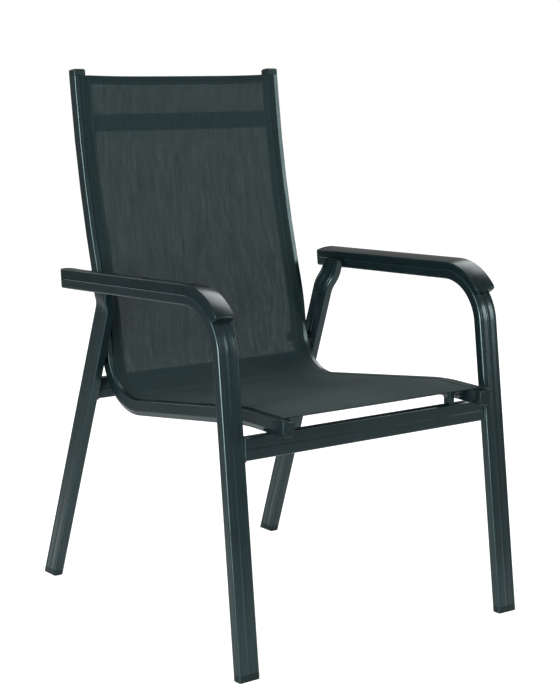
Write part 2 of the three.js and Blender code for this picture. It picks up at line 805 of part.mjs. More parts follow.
for (const [side, name] of sides) {
  const placement = rearPlacement(side);
  const whole = sweep(shapeOf(tubeOutline, 1, tubeBore), rearLine());
  const leg = between(whole, placement, footHeight + touchGap, rearLegTopZ);
  chair.add(mesh(`rear_leg_${name}`, cut(leg, legHole(placement, side)), powderCoat, placement));
  const lid = sweep(shapeOf(smoothTubeOutline), rearLine());
  const lidTop = rearLegTopZ + touchGap + capPlate;
  const lidHead = between(lid, placement, rearLegTopZ + touchGap, lidTop);
  const lidPlug = between(
    sweep(shapeOf(tubePlug), rearLine()), placement, rearLegTopZ - capPlate, lidTop - capPlate / 2,
  );
  chair.add(mesh(`rear_leg_lid_${name}`, join(lidHead, lidPlug), powderCoat, placement));
}

// Front posts and the bolts that hold the rails' front ends to them
const railInnerAtFront = railMiddle(frontBolt.y) - railHalf / cosine(railToe);
const frontNutX = railInnerAtFront - touchGap;
const frontSpacerX = frontNutX - nutFlangeHeight - touchGap;
const postOuterX = frontSpacerX - frontSpacerLength - touchGap;
const postInnerX = postOuterX - postWidth;
const postBottom = frontBarZ + barHeight / 2 + touchGap;
const postHeight = frontBolt.z + postAboveBolt - postBottom;
const postOutline = roundedBox(postWidth, postDepth, postCorner);
const shankHole = boltRadius + holeClearance;

function ring(inner, outer, from, to) {
  return turned([[inner, from], [outer, from], [outer, to], [inner, to], [inner, from]]);
}

function rivetNut(from, length) {
  const inner = boltRadius + touchGap;
  return turned([
    [inner, from],
    [nutFlangeRadius, from],
    [nutFlangeRadius, from + nutFlangeHeight],
    [nutBodyRadius, from + nutFlangeHeight],
    [nutBodyRadius, from + length],
    [inner, from + length],
    [inner, from],
  ]);
}

function bolt(seat, tip) {
  return turned([
    [0, seat - boltHeadHeight],
    [boltHeadRadius, seat - boltHeadHeight],
    [boltHeadRadius, seat],
    [boltRadius, seat],
    [boltRadius, tip],
    [0, tip],
  ]);
}

// Puts a piece drawn outward along +X at a bolt's place on either side of the chair.
function atBolt(geometry, place, side) {
  if (side < 0) geometry.rotateZ(radians(2 * quarterTurn));
  return geometry.translate(0, place.y, place.z);
}

for (const [side, name] of sides) {
  const block = extrude(postOutline, postHeight);
  block.translate(side * (postInnerX + postWidth / 2), frontBar.y, postBottom);
  const drill = pin(shankHole, side * (postInnerX - toolOverrun), side * (postOuterX + toolOverrun));
  const post = cut(block, drill.translate(0, frontBolt.y, frontBolt.z));
  chair.add(mesh(`front_post_${name}`, post, powderCoat));
  const spacer = ring(shankHole, frontSpacerRadius, frontSpacerX - frontSpacerLength, frontSpacerX);
  chair.add(mesh(`front_spacer_${name}`, atBolt(spacer, frontBolt, side), zincPlate));
  const nut = rivetNut(frontNutX - nutFlangeHeight, nutLength);
  chair.add(mesh(`front_rivet_nut_${name}`, atBolt(nut, frontBolt, side), zincPlate));
  const shank = bolt(postInnerX - touchGap, frontNutX - nutFlangeHeight + nutLength);
  chair.add(mesh(`front_bolt_${name}`, atBolt(shank, frontBolt, side), zincPlate));
}

// Rear bolts: cap and head on the rail's inner side, spacer, and rivet nut in the leg
const railInnerAtBolt = railMiddle(rearBolt.y) - railHalf / cosine(railToe);
const boltSeat = railInnerAtBolt - touchGap;
const spacerStart = railOuterAtBolt + spacerPlay;

for (const [side, name] of sides) {
  const spacer = ring(shankHole, rearSpacerRadius, spacerStart, spacerStart + rearSpacerLength);
  chair.add(mesh(`rear_spacer_${name}`, atBolt(spacer, rearBolt, side), moulding));
  const nut = rivetNut(rearNutX, nutLength);
  chair.add(mesh(`rear_rivet_nut_${name}`, atBolt(nut, rearBolt, side), zincPlate));
  const shank = bolt(boltSeat, rearNutX + nutLength);
  chair.add(mesh(`rear_bolt_${name}`, atBolt(shank, rearBolt, side), zincPlate));
  const tip = boltSeat - boltCapHeight;
  const cap = turned([
    [0, tip],
    [boltCapRadius - boltCapWall, tip],
    [boltCapRadius, tip + boltCapWall],
    [boltCapRadius, boltSeat],
    [boltCapRadius - boltCapWall, boltSeat],
    [boltCapRadius - boltCapWall, tip + boltCapWall],
    [0, tip + boltCapWall],
  ]);
  chair.add(mesh(`rear_bolt_cap_${name}`, atBolt(cap, rearBolt, side), moulding));
}

export default chair;
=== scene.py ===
"""A stacking sling patio armchair of bent, grooved and powder coated tube with a stretched mesh sling.

Metres, +Z up. The sitter faces -Y and +X is the sitter's left. Z is 0 on the floor.
"""

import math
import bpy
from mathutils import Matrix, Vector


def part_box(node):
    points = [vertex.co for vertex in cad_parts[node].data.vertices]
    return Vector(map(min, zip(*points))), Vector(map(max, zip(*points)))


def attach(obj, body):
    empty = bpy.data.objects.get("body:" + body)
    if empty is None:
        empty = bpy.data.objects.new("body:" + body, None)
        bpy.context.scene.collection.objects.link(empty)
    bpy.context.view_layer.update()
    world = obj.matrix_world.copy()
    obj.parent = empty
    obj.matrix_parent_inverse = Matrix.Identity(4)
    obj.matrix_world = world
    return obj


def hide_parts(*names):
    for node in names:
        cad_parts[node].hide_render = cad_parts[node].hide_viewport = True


bl_info = {
    "name": "Sling Patio Chair",
    "version": (1, 0, 0),
    "blender": (4, 5, 0),
    "location": "3D View > Sidebar > Patio Chair",
    "description": "Dresses a stacking sling patio armchair and its studio",
    "category": "Object",
}

import bmesh
import bpy
from bpy.props import FloatProperty, FloatVectorProperty, IntProperty, PointerProperty
from mathutils import Matrix, Vector

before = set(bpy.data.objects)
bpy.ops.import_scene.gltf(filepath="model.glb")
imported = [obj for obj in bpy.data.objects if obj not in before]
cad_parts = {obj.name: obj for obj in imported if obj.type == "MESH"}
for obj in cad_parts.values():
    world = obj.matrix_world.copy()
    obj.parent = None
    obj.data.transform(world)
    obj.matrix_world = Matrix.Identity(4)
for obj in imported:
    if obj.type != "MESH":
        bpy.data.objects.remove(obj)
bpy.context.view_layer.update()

SIDES = ((1, "left"), (-1, "right"))
TOUCH_GAP = 0.0003
FOOT_HEIGHT = 0.011

# Line of the sling rail, from the seat's front edge to the top of the back
SEAT_FRONT = (-0.3436, 0.4128)
FRONT_RISE = 1.4
FRONT_RUN = 0.0709
WATERFALL_RADIUS = 0.340
SEAT_FALL = 7
SEAT_RUN = 0.2997
SEAT_BEND_RADIUS = 0.0819
LOWER_BACK_LEAN = 8.1
LOWER_BACK_RUN = 0.0478
LUMBAR_RADIUS = 0.349
MIDDLE_BACK_LEAN = 16.1
MIDDLE_BACK_RUN = 0.0367
BACK_BOW_RADIUS = 2.090
TOP_LEAN = 6.8
TOP_RUN = 0.031
RAIL_MIDDLE = 0.2144
RAIL_TOE = math.radians(0.46)

# Side frames and rear legs
FRONT_FOOT_X = 0.2813
FRONT_LEG_LEAN = 6.7
FRONT_BAR_Z = 0.3625
FRONT_BAR_SETBACK = 0.0018
ARM_RISE = 1.9
ARM_CORNER_Z = 0.5935
ARM_BEND_RADIUS = 0.086
ARM_REAR_Y = 0.1815
SIDE_TILT = math.radians(0.57)
SIDE_TOE = math.radians(1.15)
PAD_LIP_HEADING = 53
REAR_FOOT_Y = 0.3343
REAR_LEG_SPLAY = 1.09
JOG_START_Z = 0.528
JOG_RADIUS = 0.048
REAR_LEG_TOP_Z = 0.586
BOLT_BEHIND_LEG = 0.0034
BOLT_TO_LEG = 0.0116

# Rings of a foot: height above the floor and inset
FOOT_RINGS = (
    (0.0, 0.0011), (0.0004, 0.0004), (0.0011, 0.0), (0.0102, 0.0), (0.0107, 0.0002), (FOOT_HEIGHT, 0.0007)
)
PAD_END_ROUNDS = (0.0034, 0.0004)
BAR_ROUND_SHARE = 1.5
FASTENER_ROUND_SHARE = 0.6

# Hems and stitches, as shares of the cloth's thickness, the stitch pitch and a stitch's length
HEM_TOP_SHARE = 0.62
HEM_UNDER_SHARE = 1.5
STITCH_SHARE = 0.68
STITCH_SWELL_SHARES = ((0.0, 0.35), (0.2, 0.9), (0.5, 1.0), (0.8, 0.9), (1.0, 0.35))

# Each lamp's place, target and size
CHAIR_MIDDLE = (0, 0, 0.55)
LAMPS = {
    "side": ((-4.75, -3.5, 1.1), (0, 0, 0.6), (3.6, 2.4)),
    "top": ((2.2, 0.9, 2.75), (0, 0.9, 0.6), (2.0, 1.4)),
    "fill": ((2.4, -2.2, 1.2), CHAIR_MIDDLE, (0.5, 1.2)),
    "left": ((-2.55, -1.2, 2.25), CHAIR_MIDDLE, (1.6, 1.5)),
    "back": ((-1.3, 2.9, 1.9), CHAIR_MIDDLE, (1.4, 1.0)),
}
CAMERA_PLACE = (-1.71726, -2.36133, 0.96171)
CAMERA_TURN = (math.radians(80.11), 0, math.radians(-36.60))
SENSOR_WIDTH = 36

# Floor: its reach, where its painted fall-off of light starts and ends in reflections, and its glow in the
# camera
FLOOR_REACH = 15
FLOOR_DARKENS = (0.7, 1.5)
FLOOR_DARK_SHARE = 0.4
FLOOR_GLOW = 1.7
FLOOR_GLOW_SHARE = 0.5

# Edges stay sharp from these angles, in degrees
PIECE_CREASE = 34
SOLID_CREASE = 28
SMOOTH_CREASE = 60

DUST = (0.16, 0.17, 0.165, 1.0)
WHITE = (1, 1, 1)


# Sizes and colours that a user would change

def length(name, default, about):
    return FloatProperty(name=name, description=about, default=default, subtype="DISTANCE", unit="LENGTH")


def colour(name, default, about):
    return FloatVectorProperty(
        name=name, description=about, default=default, size=3, min=0, max=1, subtype="COLOR"
    )


def share(name, default, about):
    return FloatProperty(name=name, description=about, default=default, min=0, max=1, subtype="FACTOR")


def amount(name, default, about, unit="NONE", low=0):
    return FloatProperty(name=name, description=about, default=default, min=low, unit=unit)


class FrameSizes(bpy.types.PropertyGroup):
    """Sections of the tubes, bars and rails"""

    tube_width: length("Tube width", 0.040, "Width of the grooved tube")
    tube_depth: length("Tube depth", 0.018, "Depth of the grooved tube")
    tube_corner: length("Tube corner", 0.0035, "Corner radius of the grooved tube")
    groove_depth: length("Groove depth", 0.001, "Depth of the grooves along the tube")
    rail_width: length("Rail width", 0.024, "Width of the sling rail's front")
    rail_depth: length("Rail depth", 0.028, "Depth of the sling rail, front to back")
    slot_width: length("Slot width", 0.003, "Slot that holds the sling's edge")
    bead_radius: length("Weld bead", 0.0019, "Radius of the weld beads")
    edge_round: length("Edge round", 0.0004, "Round on the edges of bars, caps and fasteners")
    bend_step: amount("Bend step", 3, "Turn between two rings of a bend, in degrees", low=1)


class SlingSizes(bpy.types.PropertyGroup):
    """Sizes of the stretched mesh"""

    cloth_thickness: length("Cloth thickness", 0.001, "Thickness of one layer")
    hem_width: length("Side hem", 0.020, "Width of the hems along the rails")
    hem_thickness: length("Hem thickness", 0.0016, "Thickness of a pressed hem")
    end_hem_width: length("End hem", 0.015, "Width of the hems at the top and the seat's front edge")
    hem_level: length("Hem level", 0.0022, "Top of the side hem above the rail's outer lip")
    sag: length("Sag", 0.001, "How far the middle lies below the hems")
    edge_bow: length("End bow", 0.0022, "How far the end hems bow in between the rails")
    warp_pitch: length("Warp pitch", 0.0009, "Spacing of the yarns that run up the back")
    weft_pitch: length("Weft pitch", 0.0011, "Spacing of the yarns that run across")
    stitch_pitch: length("Stitch pitch", 0.0042, "Spacing of the stitches")
    rows: IntProperty(name="Rows", description="Faces along the sling", default=150, min=40)
    columns: IntProperty(name="Columns", description="Faces across the sling", default=36, min=8)


class ChairFinishes(bpy.types.PropertyGroup):
    """Colours and gloss of the chair's finishes"""

    powder: colour("Powder coat", (0.0036, 0.0078, 0.0088), "Powder coat on the tubes, rails and bars")
    powder_roughness: share("Powder roughness", 0.24, "Roughness of the powder coat")
    mesh: colour("Mesh", (0.0078, 0.0176, 0.0188), "Yarn of the sling")
    mesh_roughness: share("Mesh roughness", 0.60, "Roughness of the coated yarn")
    mesh_sheen: share("Mesh sheen", 0.036, "Soft light that the yarn's fibres catch at a slant")
    mesh_opening: share("Mesh opening", 0.50, "How clear the openings between the yarns are")
    thread: colour("Thread", (0.015, 0.026, 0.028), "Sewing thread")
    cap: colour("Caps and feet", (0.0031, 0.0066, 0.0074), "Moulded caps, feet and spacers")
    pad: colour("Arm pads", (0.0034, 0.0075, 0.0083), "Moulded arm pads")
    rod: colour("Edge rods", (0.008, 0.010, 0.010), "Rods inside the sling's edges")
    zinc: colour("Zinc", (0.14, 0.155, 0.16), "Dull zinc plate on the fasteners")
    sheen_tint: colour("Reflection tint", (0.70, 1.0, 1.0), "Tint of what the coat and plastics reflect")


class StudioSettings(bpy.types.PropertyGroup):
    """Floor, lamps and camera"""

    floor: colour("Floor", (0.86, 0.86, 0.86), "Colour of the floor")
    ambient: amount("Ambient", 0.46, "Light from all round")
    mirrored: amount("Mirrored", 0.30, "Brightness of the room in reflections")
    side_power: amount("Side lamp", 540, "Tall soft lamp at the picture's left", "POWER")
    top_power: amount("Top lamp", 48, "Overhead soft lamp", "POWER")
    fill_power: amount("Fill lamp", 28, "Low soft lamp", "POWER")
    left_power: amount("Left lamp", 45, "Soft lamp above, at the picture's left", "POWER")
    back_power: amount("Back lamp", 9, "Soft lamp behind", "POWER")
    lens: amount("Lens", 84.857, "Focal length, in millimetres", low=1)


# Lines and outlines

class BentLine:
    """A bent line in an upright plane. A heading is the angle from +Y towards +Z, in degrees."""

    def __init__(self, y, z, heading, bend_step):
        self.stations = [(y, z, heading, 0.0)]
        self.bend_step = bend_step

    @property
    def length(self):
        return self.stations[-1][3]

    def step(self, distance, turn):
        y, z, heading, along = self.stations[-1]
        half = math.radians(turn) / 2
        aim = math.radians(heading) + half
        chord = distance * math.sin(half) / half if turn else distance
        self.stations.append(
            (y + chord * math.cos(aim), z + chord * math.sin(aim), heading + turn, along + distance)
        )

    def run(self, distance):
        self.step(distance, 0)
        return self

    def bend_to(self, heading, radius):
        turn = heading - self.stations[-1][2]
        count = max(2, math.ceil(abs(turn) / self.bend_step))
        for _ in range(count):
            self.step(radius * math.radians(abs(turn)) / count, turn / count)
        return self

    def place(self, along, offset=0.0):
        """The place at a distance along the line, and beside it by an offset to the line's left."""
        later = next((i for i, s in enumerate(self.stations) if s[3] >= along), len(self.stations) - 1)
        a, b = self.stations[max(1, later) - 1], self.stations[max(1, later)]
        part = (along - a[3]) / (b[3] - a[3])
        y, z, heading = (a[k] + (b[k] - a[k]) * part for k in range(3))
        turn = math.radians(heading)
        return y - offset * math.sin(turn), z + offset * math.cos(turn), heading


def arc(x, y, radius, start, end, steps=6):
    angles = (math.radians(start + (end - start) * i / steps) for i in range(steps + 1))
    return [(x + radius * math.cos(a), y + radius * math.sin(a)) for a in angles]


def groove(at, wide, deep, level, steps=10):
    """A shallow rolled groove, from right to left along the top of an outline."""
    parts = (1 - 2 * i / steps for i in range(steps + 1))
    return [(at + wide / 2 * part, level - deep * (1 + math.cos(math.pi * part)) / 2) for part in parts]


def rounded_box(width, height, radius, grooves=()):
    x, y = width / 2 - radius, height / 2 - radius
    top = arc(x, y, radius, 0, 90)
    for at, wide, deep in grooves:
        top += groove(at, wide, deep, height / 2)
    top += arc(-x, y, radius, 90, 180)
    return top + [(-a, -b) for a, b in top]


def supported(outline, reach=0.0007, corner_turn=0.08):
    """Adds points beside the corners of an outline, and gives each point's share of edge rub."""
    points, rub = [], []
    for i, here in enumerate(outline):
        back, here, ahead = (Vector(outline[k % len(outline)]) for k in (i - 1, i, i + 1))
        turn = (here - back).angle_signed(ahead - here, 0) if (here - back).length else 0
        points.append(here)
        rub.append(1.0 if turn < -corner_turn else 0.0)
        gap = ahead - here
        if gap.length > 3 * reach:
            points += [here + gap.normalized() * reach, ahead - gap.normalized() * reach]
            rub += [0.0, 0.0]
    return [tuple(p) for p in points], rub


def tube_outline(sizes, grooved=True):
    rim, wide, middle, deep = 0.0034, 0.0052, 0.0085, sizes.groove_depth
    at = sizes.tube_width / 2 - rim - wide / 2
    grooves = [(at, wide, deep), (0, middle, deep), (-at, wide, deep)] if grooved else ()
    return rounded_box(sizes.tube_width, sizes.tube_depth, sizes.tube_corner, grooves)


def rail_outline(sizes):
    """Outward and up from the middle of the rail's outer lip."""
    half, back_half, back_rise = sizes.rail_width / 2, 0.008, 0.009
    corner, drop, lip = 0.0026, 0.0003, 0.0004
    slot, channel, deep = sizes.slot_width / 2, 0.0037, 0.0062
    taper = back_rise - sizes.rail_depth
    opening = math.degrees(math.asin(slot / channel))
    return [
        *arc(slot + lip, -lip, lip, 180, 90, 2),
        *arc(half - corner, -corner, corner, 90, 0),
        (half, taper),
        *arc(back_half - corner, corner - sizes.rail_depth, corner, 0, -90),
        *arc(corner - back_half, corner - sizes.rail_depth, corner, -90, -180),
        (-half, taper),
        *arc(corner - half, -drop - corner, corner, 180, 90),
        *arc(-slot - lip, -drop - lip, lip, 90, 0, 2),
        *arc(0, -deep, channel, 90 + opening, 450 - opening, 12),
    ][::-1]


def end_rings(radius, steps=4):
    """Distances from an end and insets that round it off."""
    if not radius:
        return [(0.0, 0.0)]
    turns = [math.pi / 2 * i / steps for i in range(steps + 1)]
    return [(radius * (1 - math.cos(t)), radius * (1 - math.sin(t))) for t in turns]


def inset_outline(outline, inset):
    if not inset:
        return outline
    xs, ys = [p[0] for p in outline], [p[1] for p in outline]
    cx, cy = (min(xs) + max(xs)) / 2, (min(ys) + max(ys)) / 2
    kx, ky = 1 - 2 * inset / (max(xs) - min(xs)), 1 - 2 * inset / (max(ys) - min(ys))
    return [(cx + (p[0] - cx) * kx, cy + (p[1] - cy) * ky) for p in outline]


def ring(outline, line, along, side=1, inset=0.0, middle=None):
    """The outline's points at a place on the line, drawn outward and to the line's left."""
    points = []
    for x, offset in inset_outline(outline, inset):
        y, z, _ = line.place(along, offset)
        at = middle(line.place(along)[0]) if middle else 0
        points.append(Vector((side * (x + at), y, z)))
    return points


def ring_faces(rings, count, closed=False):
    faces = []
    for i in range(rings if closed else rings - 1):
        low, high = i * count, ((i + 1) % rings) * count
        for j in range(count):
            k = (j + 1) % count
            faces.append((low + j, low + k, high + k, high + j))
    if not closed:
        faces.append(tuple(range(count))[::-1])
        faces.append(tuple(range((rings - 1) * count, rings * count)))
    return faces


def sweep(outline, line, side=1, rounds=(0.0, 0.0)):
    """Rings of an outline along a line, with rounded ends, and their distances along it."""
    start, end = rounds
    inner = [(s[3], 0.0) for s in line.stations if start < s[3] < line.length - end]
    finish = [(line.length - d, i) for d, i in reversed(end_rings(end))]
    stops = end_rings(start) + inner + finish
    return [ring(outline, line, along, side, inset) for along, inset in stops], [s[0] for s in stops]


def aim_along(line, along, placement):
    """The line's own direction at a place, turned as it stands in the chair."""
    heading = math.radians(line.place(along)[2])
    return placement.to_3x3() @ Vector((0, math.cos(heading), math.sin(heading)))


def trim_level(points, direction, level):
    """Slides points along a direction until they lie at a height."""
    for p in points:
        p += direction * ((level - p.z) / direction.z)


# Meshes

def make_piece(name, points, faces, finish, replaces=(), uv=None, rub=None, crease=PIECE_CREASE):
    mesh = bpy.data.meshes.new(name)
    mesh.from_pydata([tuple(p) for p in points], [], faces)
    if uv:
        layer = mesh.uv_layers.new(name="cloth")
        for loop in mesh.loops:
            layer.data[loop.index].uv = uv[loop.vertex_index]
    if rub:
        mesh.attributes.new("rubbed_edge", "FLOAT", "POINT").data.foreach_set("value", rub)
    build = bmesh.new()
    build.from_mesh(mesh)
    if all(len(edge.link_faces) == 2 for edge in build.edges):
        bmesh.ops.recalc_face_normals(build, faces=build.faces)
    build.to_mesh(mesh)
    build.free()
    mesh.shade_smooth()
    mesh.set_sharp_from_angle(angle=math.radians(crease))
    mesh.materials.append(finish)
    piece = bpy.data.objects.new(name, mesh)
    bpy.context.scene.collection.objects.link(piece)
    piece.modifiers.new("Even shading", "WEIGHTED_NORMAL").keep_sharp = True
    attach(piece, "root")
    if replaces:
        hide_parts(*replaces)
    return piece


def make_swept(
    name, outline, line, placement, finish, replaces, side=1, rounds=(0.0, 0.0), levels=(None, None)
):
    """A swept piece in the chair's place, its ends cut level at the heights given."""
    drawn, rub = supported(outline)
    rings, stops = sweep(drawn, line, side, rounds)
    for points in rings:
        for p in points:
            p.xyz = placement @ p
    for level, index in zip(levels, (0, -1)):
        if level is not None:
            trim_level(rings[index], aim_along(line, stops[index], placement), level)
    points = [p for points in rings for p in points]
    faces = ring_faces(len(rings), len(drawn))
    return make_piece(name, points, faces, finish, [replaces], rub=rub * len(rings))


def soften_solid(node, finish, edge):
    """Finishes a carried-over solid: joined facets, a small round on its edges and even shading."""
    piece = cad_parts[node]
    piece.data.materials.clear()
    piece.data.materials.append(finish)
    crease = math.radians(SOLID_CREASE)
    piece.modifiers.new("Join facets", "NODES").node_group = facet_joiner(crease)
    if edge:
        bevel = piece.modifiers.new("Edge round", "BEVEL")
        bevel.width = edge
        bevel.segments = 2
        bevel.limit_method = "ANGLE"
        bevel.angle_limit = crease
        bevel.use_clamp_overlap = True
    piece.modifiers.new("Even shading", "WEIGHTED_NORMAL").keep_sharp = True


# Nodes

def made_once(kind, name):
    """Marks a function that makes a named group or material, so that it is made only once."""

    def mark(make):
        def find_or_make():
            return getattr(bpy.data, kind).get(name) or make(name)

        return find_or_make

    return mark


def feed(tree, socket, value):
    """Links a socket or sets a plain value."""
    if isinstance(value, bpy.types.NodeSocket):
        tree.links.new(value, socket)
    else:
        socket.default_value = value


def add_node(tree, kind, inputs=(), **settings):
    """A node with its settings and with its inputs fed."""
    node = tree.nodes.new(kind)
    for name, value in settings.items():
        setattr(node, name, value)
    for key, value in dict(inputs).items():
        feed(tree, node.inputs[key], value)
    return node


def calc(tree, operation, *values, clamp=False):
    node = add_node(tree, "ShaderNodeMath", enumerate(values), operation=operation, use_clamp=clamp)
    return node.outputs[0]


def remap(tree, value, low, high, to_low=0.0, to_high=1.0):
    inputs = enumerate((value, low, high, to_low, to_high))
    return add_node(tree, "ShaderNodeMapRange", inputs).outputs[0]


def between(tree, part, low, high):
    """A value between two others, by a part of 0 to 1."""
    return remap(tree, part, 0.0, 1.0, low, high)


def noise(tree, place, scale, detail=2.0, roughness=0.5):
    inputs = {"Vector": place, "Scale": scale, "Detail": detail, "Roughness": roughness}
    return add_node(tree, "ShaderNodeTexNoise", inputs).outputs[0]


def grain_noise(tree, place, size, detail):
    """Noise with grains of a size given by a socket."""
    return noise(tree, place, calc(tree, "DIVIDE", 1.0, size), detail)


def tint(tree, part, dark, light):
    return add_node(tree, "ShaderNodeMix", {0: part, 6: dark, 7: light}, data_type="RGBA").outputs[2]


def split_vector(tree, vector):
    return add_node(tree, "ShaderNodeSeparateXYZ", {0: vector}).outputs


def own_place(tree):
    return add_node(tree, "ShaderNodeTexCoord").outputs["Object"]


def facet_joiner(angle, merge_distance=0.00001):
    """Geometry nodes that join the facets of a solid and shade it smooth below an angle."""
    name = f"Facets joined at {math.degrees(angle):.0f}"
    if name in bpy.data.node_groups:
        return bpy.data.node_groups[name]
    tree = bpy.data.node_groups.new(name, "GeometryNodeTree")
    for way in ("INPUT", "OUTPUT"):
        tree.interface.new_socket(name="Geometry", in_out=way, socket_type="NodeSocketGeometry")
    start = add_node(tree, "NodeGroupInput").outputs[0]
    joined = add_node(tree, "GeometryNodeMergeByDistance", {"Geometry": start, "Distance": merge_distance})
    bend = add_node(tree, "GeometryNodeInputMeshEdgeAngle").outputs["Unsigned Angle"]
    below = {"data_type": "FLOAT", "operation": "LESS_THAN"}
    gentle = add_node(tree, "FunctionNodeCompare", {0: bend, 1: angle}, **below)
    faces = add_node(tree, "GeometryNodeSetShadeSmooth", {"Geometry": joined.outputs[0]})
    shading = {"Geometry": faces.outputs[0], "Shade Smooth": gentle.outputs[0]}
    edges = add_node(tree, "GeometryNodeSetShadeSmooth", shading, domain="EDGE")
    add_node(tree, "NodeGroupOutput", {0: edges.outputs[0]})
    return tree


# Shader groups

def spaced(values):
    """Labels of sockets from the names of arguments."""
    return {name.replace("_", " "): value for name, value in values.items()}


def new_group(name, **inputs):
    """Starts a shader group with number inputs. Returns its tree and the sockets of its inputs."""
    tree = bpy.data.node_groups.new(name, "ShaderNodeTree")
    for label, value in spaced(inputs).items():
        socket = tree.interface.new_socket(name=label, in_out="INPUT", socket_type="NodeSocketFloat")
        socket.default_value = value
    return tree, add_node(tree, "NodeGroupInput").outputs


def close_group(tree, **results):
    """Ends a shader group with its named outputs."""
    for label in results:
        tree.interface.new_socket(name=label, in_out="OUTPUT", socket_type="NodeSocketFloat")
    add_node(tree, "NodeGroupOutput", results)
    return tree


def place_group(tree, group, **values):
    return add_node(tree, "ShaderNodeGroup", spaced(values), node_tree=group).outputs


@made_once("node_groups", "Coat grain")
def coat_grain_group(name, cloud_scale=14.0, speck_tone_share=0.4):
    """Fine orange peel and speckle of a sprayed or moulded surface."""
    tree, given = new_group(name, Peel_size=0.002, Speck_size=0.0004, Speck_share=0.3)
    place = own_place(tree)
    peel = grain_noise(tree, place, given["Peel size"], 2)
    speck = grain_noise(tree, place, given["Speck size"], 1)
    cloud = noise(tree, place, cloud_scale, 3)
    both = calc(tree, "MULTIPLY_ADD", calc(tree, "SUBTRACT", speck, peel), given["Speck share"], peel)
    tone = calc(tree, "ADD", calc(tree, "MULTIPLY", speck, speck_tone_share), cloud)
    gloss = remap(tree, cloud, 0.3, 0.7)
    return close_group(tree, Height=both, Tone=remap(tree, tone, 0.4, 1.0), Gloss=gloss)


@made_once("node_groups", "Edge rub")
def edge_rub_group(name):
    """Mask of the lightly polished edges, broken up along their length."""
    tree, given = new_group(name, Amount=0.5, Patch_size=0.02)
    edge = add_node(tree, "ShaderNodeAttribute", attribute_name="rubbed_edge")
    patch = grain_noise(tree, own_place(tree), given["Patch size"], 3)
    worn = calc(tree, "MULTIPLY", edge.outputs["Fac"], remap(tree, patch, 0.35, 0.7))
    return close_group(tree, Mask=calc(tree, "MULTIPLY", worn, given["Amount"]))


@made_once("node_groups", "Settled dust")
def dust_group(name, patch_scale=120.0, patch_roughness=0.65):
    """Mask of the thin dust that settles on what faces up."""
    tree, given = new_group(name, Amount=0.3)
    facing = split_vector(tree, add_node(tree, "ShaderNodeNewGeometry").outputs["Normal"])["Z"]
    patch = noise(tree, own_place(tree), patch_scale, 4, patch_roughness)
    lying = calc(tree, "MULTIPLY", remap(tree, facing, 0.3, 1.0), remap(tree, patch, 0.35, 0.75))
    return close_group(tree, Mask=calc(tree, "MULTIPLY", lying, given["Amount"]))


@made_once("node_groups", "Woven mesh")
def weave_group(name, gap_edge=(0.70, 0.92), bundle_shift=3.37, broad_share=0.35):
    """Plain weave of coated yarn: height, openings between the yarns and the streaks of the warp."""
    tree, given = new_group(name, Warp_pitch=0.0009, Weft_pitch=0.0011)
    cloth = split_vector(tree, add_node(tree, "ShaderNodeUVMap", uv_map="cloth").outputs[0])
    across = calc(tree, "DIVIDE", cloth["X"], given["Warp pitch"])
    along = calc(tree, "DIVIDE", cloth["Y"], given["Weft pitch"])

    def gap(value):
        centred = calc(tree, "MULTIPLY_ADD", calc(tree, "FRACT", value), 2.0, -1.0)
        return calc(tree, "ABSOLUTE", centred)

    def yarn(own_gap, own, other, sign):
        """Height of one yarn, which passes over and under the others in turn."""
        bow = calc(tree, "SUBTRACT", 1.0, calc(tree, "MULTIPLY", own_gap, own_gap))
        turn = calc(tree, "COSINE", calc(tree, "MULTIPLY", calc(tree, "FLOOR", own), math.pi))
        wave = calc(tree, "COSINE", calc(tree, "MULTIPLY_ADD", other, math.pi, -math.pi / 2))
        over = calc(tree, "MULTIPLY_ADD", calc(tree, "MULTIPLY", turn, wave), 0.4 * sign, 0.6)
        return calc(tree, "MULTIPLY", bow, over)

    def bundle_tone(yarns, drift, seed):
        """Tone of a bundle of warp yarns, changing slowly along it."""
        bundle = calc(tree, "FLOOR", calc(tree, "DIVIDE", across, yarns))
        shifted = calc(tree, "MULTIPLY_ADD", bundle, bundle_shift, seed)
        drifting = calc(tree, "MULTIPLY", cloth["Y"], drift)
        place = add_node(tree, "ShaderNodeCombineXYZ", {0: shifted, 1: drifting})
        return noise(tree, place.outputs[0], 1.0, 2)

    warp_gap, weft_gap = gap(across), gap(along)
    warp, weft = yarn(warp_gap, across, along, 1), yarn(weft_gap, along, across, -1)
    opening = calc(tree, "MULTIPLY", remap(tree, warp_gap, *gap_edge), remap(tree, weft_gap, *gap_edge))
    single, broad = bundle_tone(2.0, 24.0, 0.31), bundle_tone(6.0, 10.0, 11.7)
    streak = remap(tree, calc(tree, "MULTIPLY_ADD", broad, broad_share, single), 0.42, 0.93)
    return close_group(tree, Height=calc(tree, "MAXIMUM", warp, weft), Opening=opening, Streak=streak)


# Finishes

def finishes():
    return bpy.context.scene.chair_finishes


def scaled(rgb, factor):
    return tuple(min(1.0, c * factor) for c in rgb) + (1.0,)


def tones(tree, part, rgb, dark_share, light_share):
    """A colour between a darker and a lighter tone of itself."""
    return tint(tree, part, scaled(rgb, dark_share), scaled(rgb, light_share))


def new_material(name, roughness, specular, reflection, metallic=0.0):
    """A material with a plain shader. Returns the material, its tree and the shader's inputs."""
    material = bpy.data.materials.new(name)
    material.use_nodes = True
    tree = material.node_tree
    inputs = tree.nodes["Principled BSDF"].inputs
    inputs["Roughness"].default_value = roughness
    inputs["Metallic"].default_value = metallic
    inputs["Specular IOR Level"].default_value = specular
    inputs["Specular Tint"].default_value = (*reflection, 1.0)
    return material, tree, inputs


def bump(tree, inputs, height, depth, strength=1.0):
    node = add_node(tree, "ShaderNodeBump", {"Strength": strength, "Distance": depth, "Height": height})
    feed(tree, inputs["Normal"], node.outputs[0])


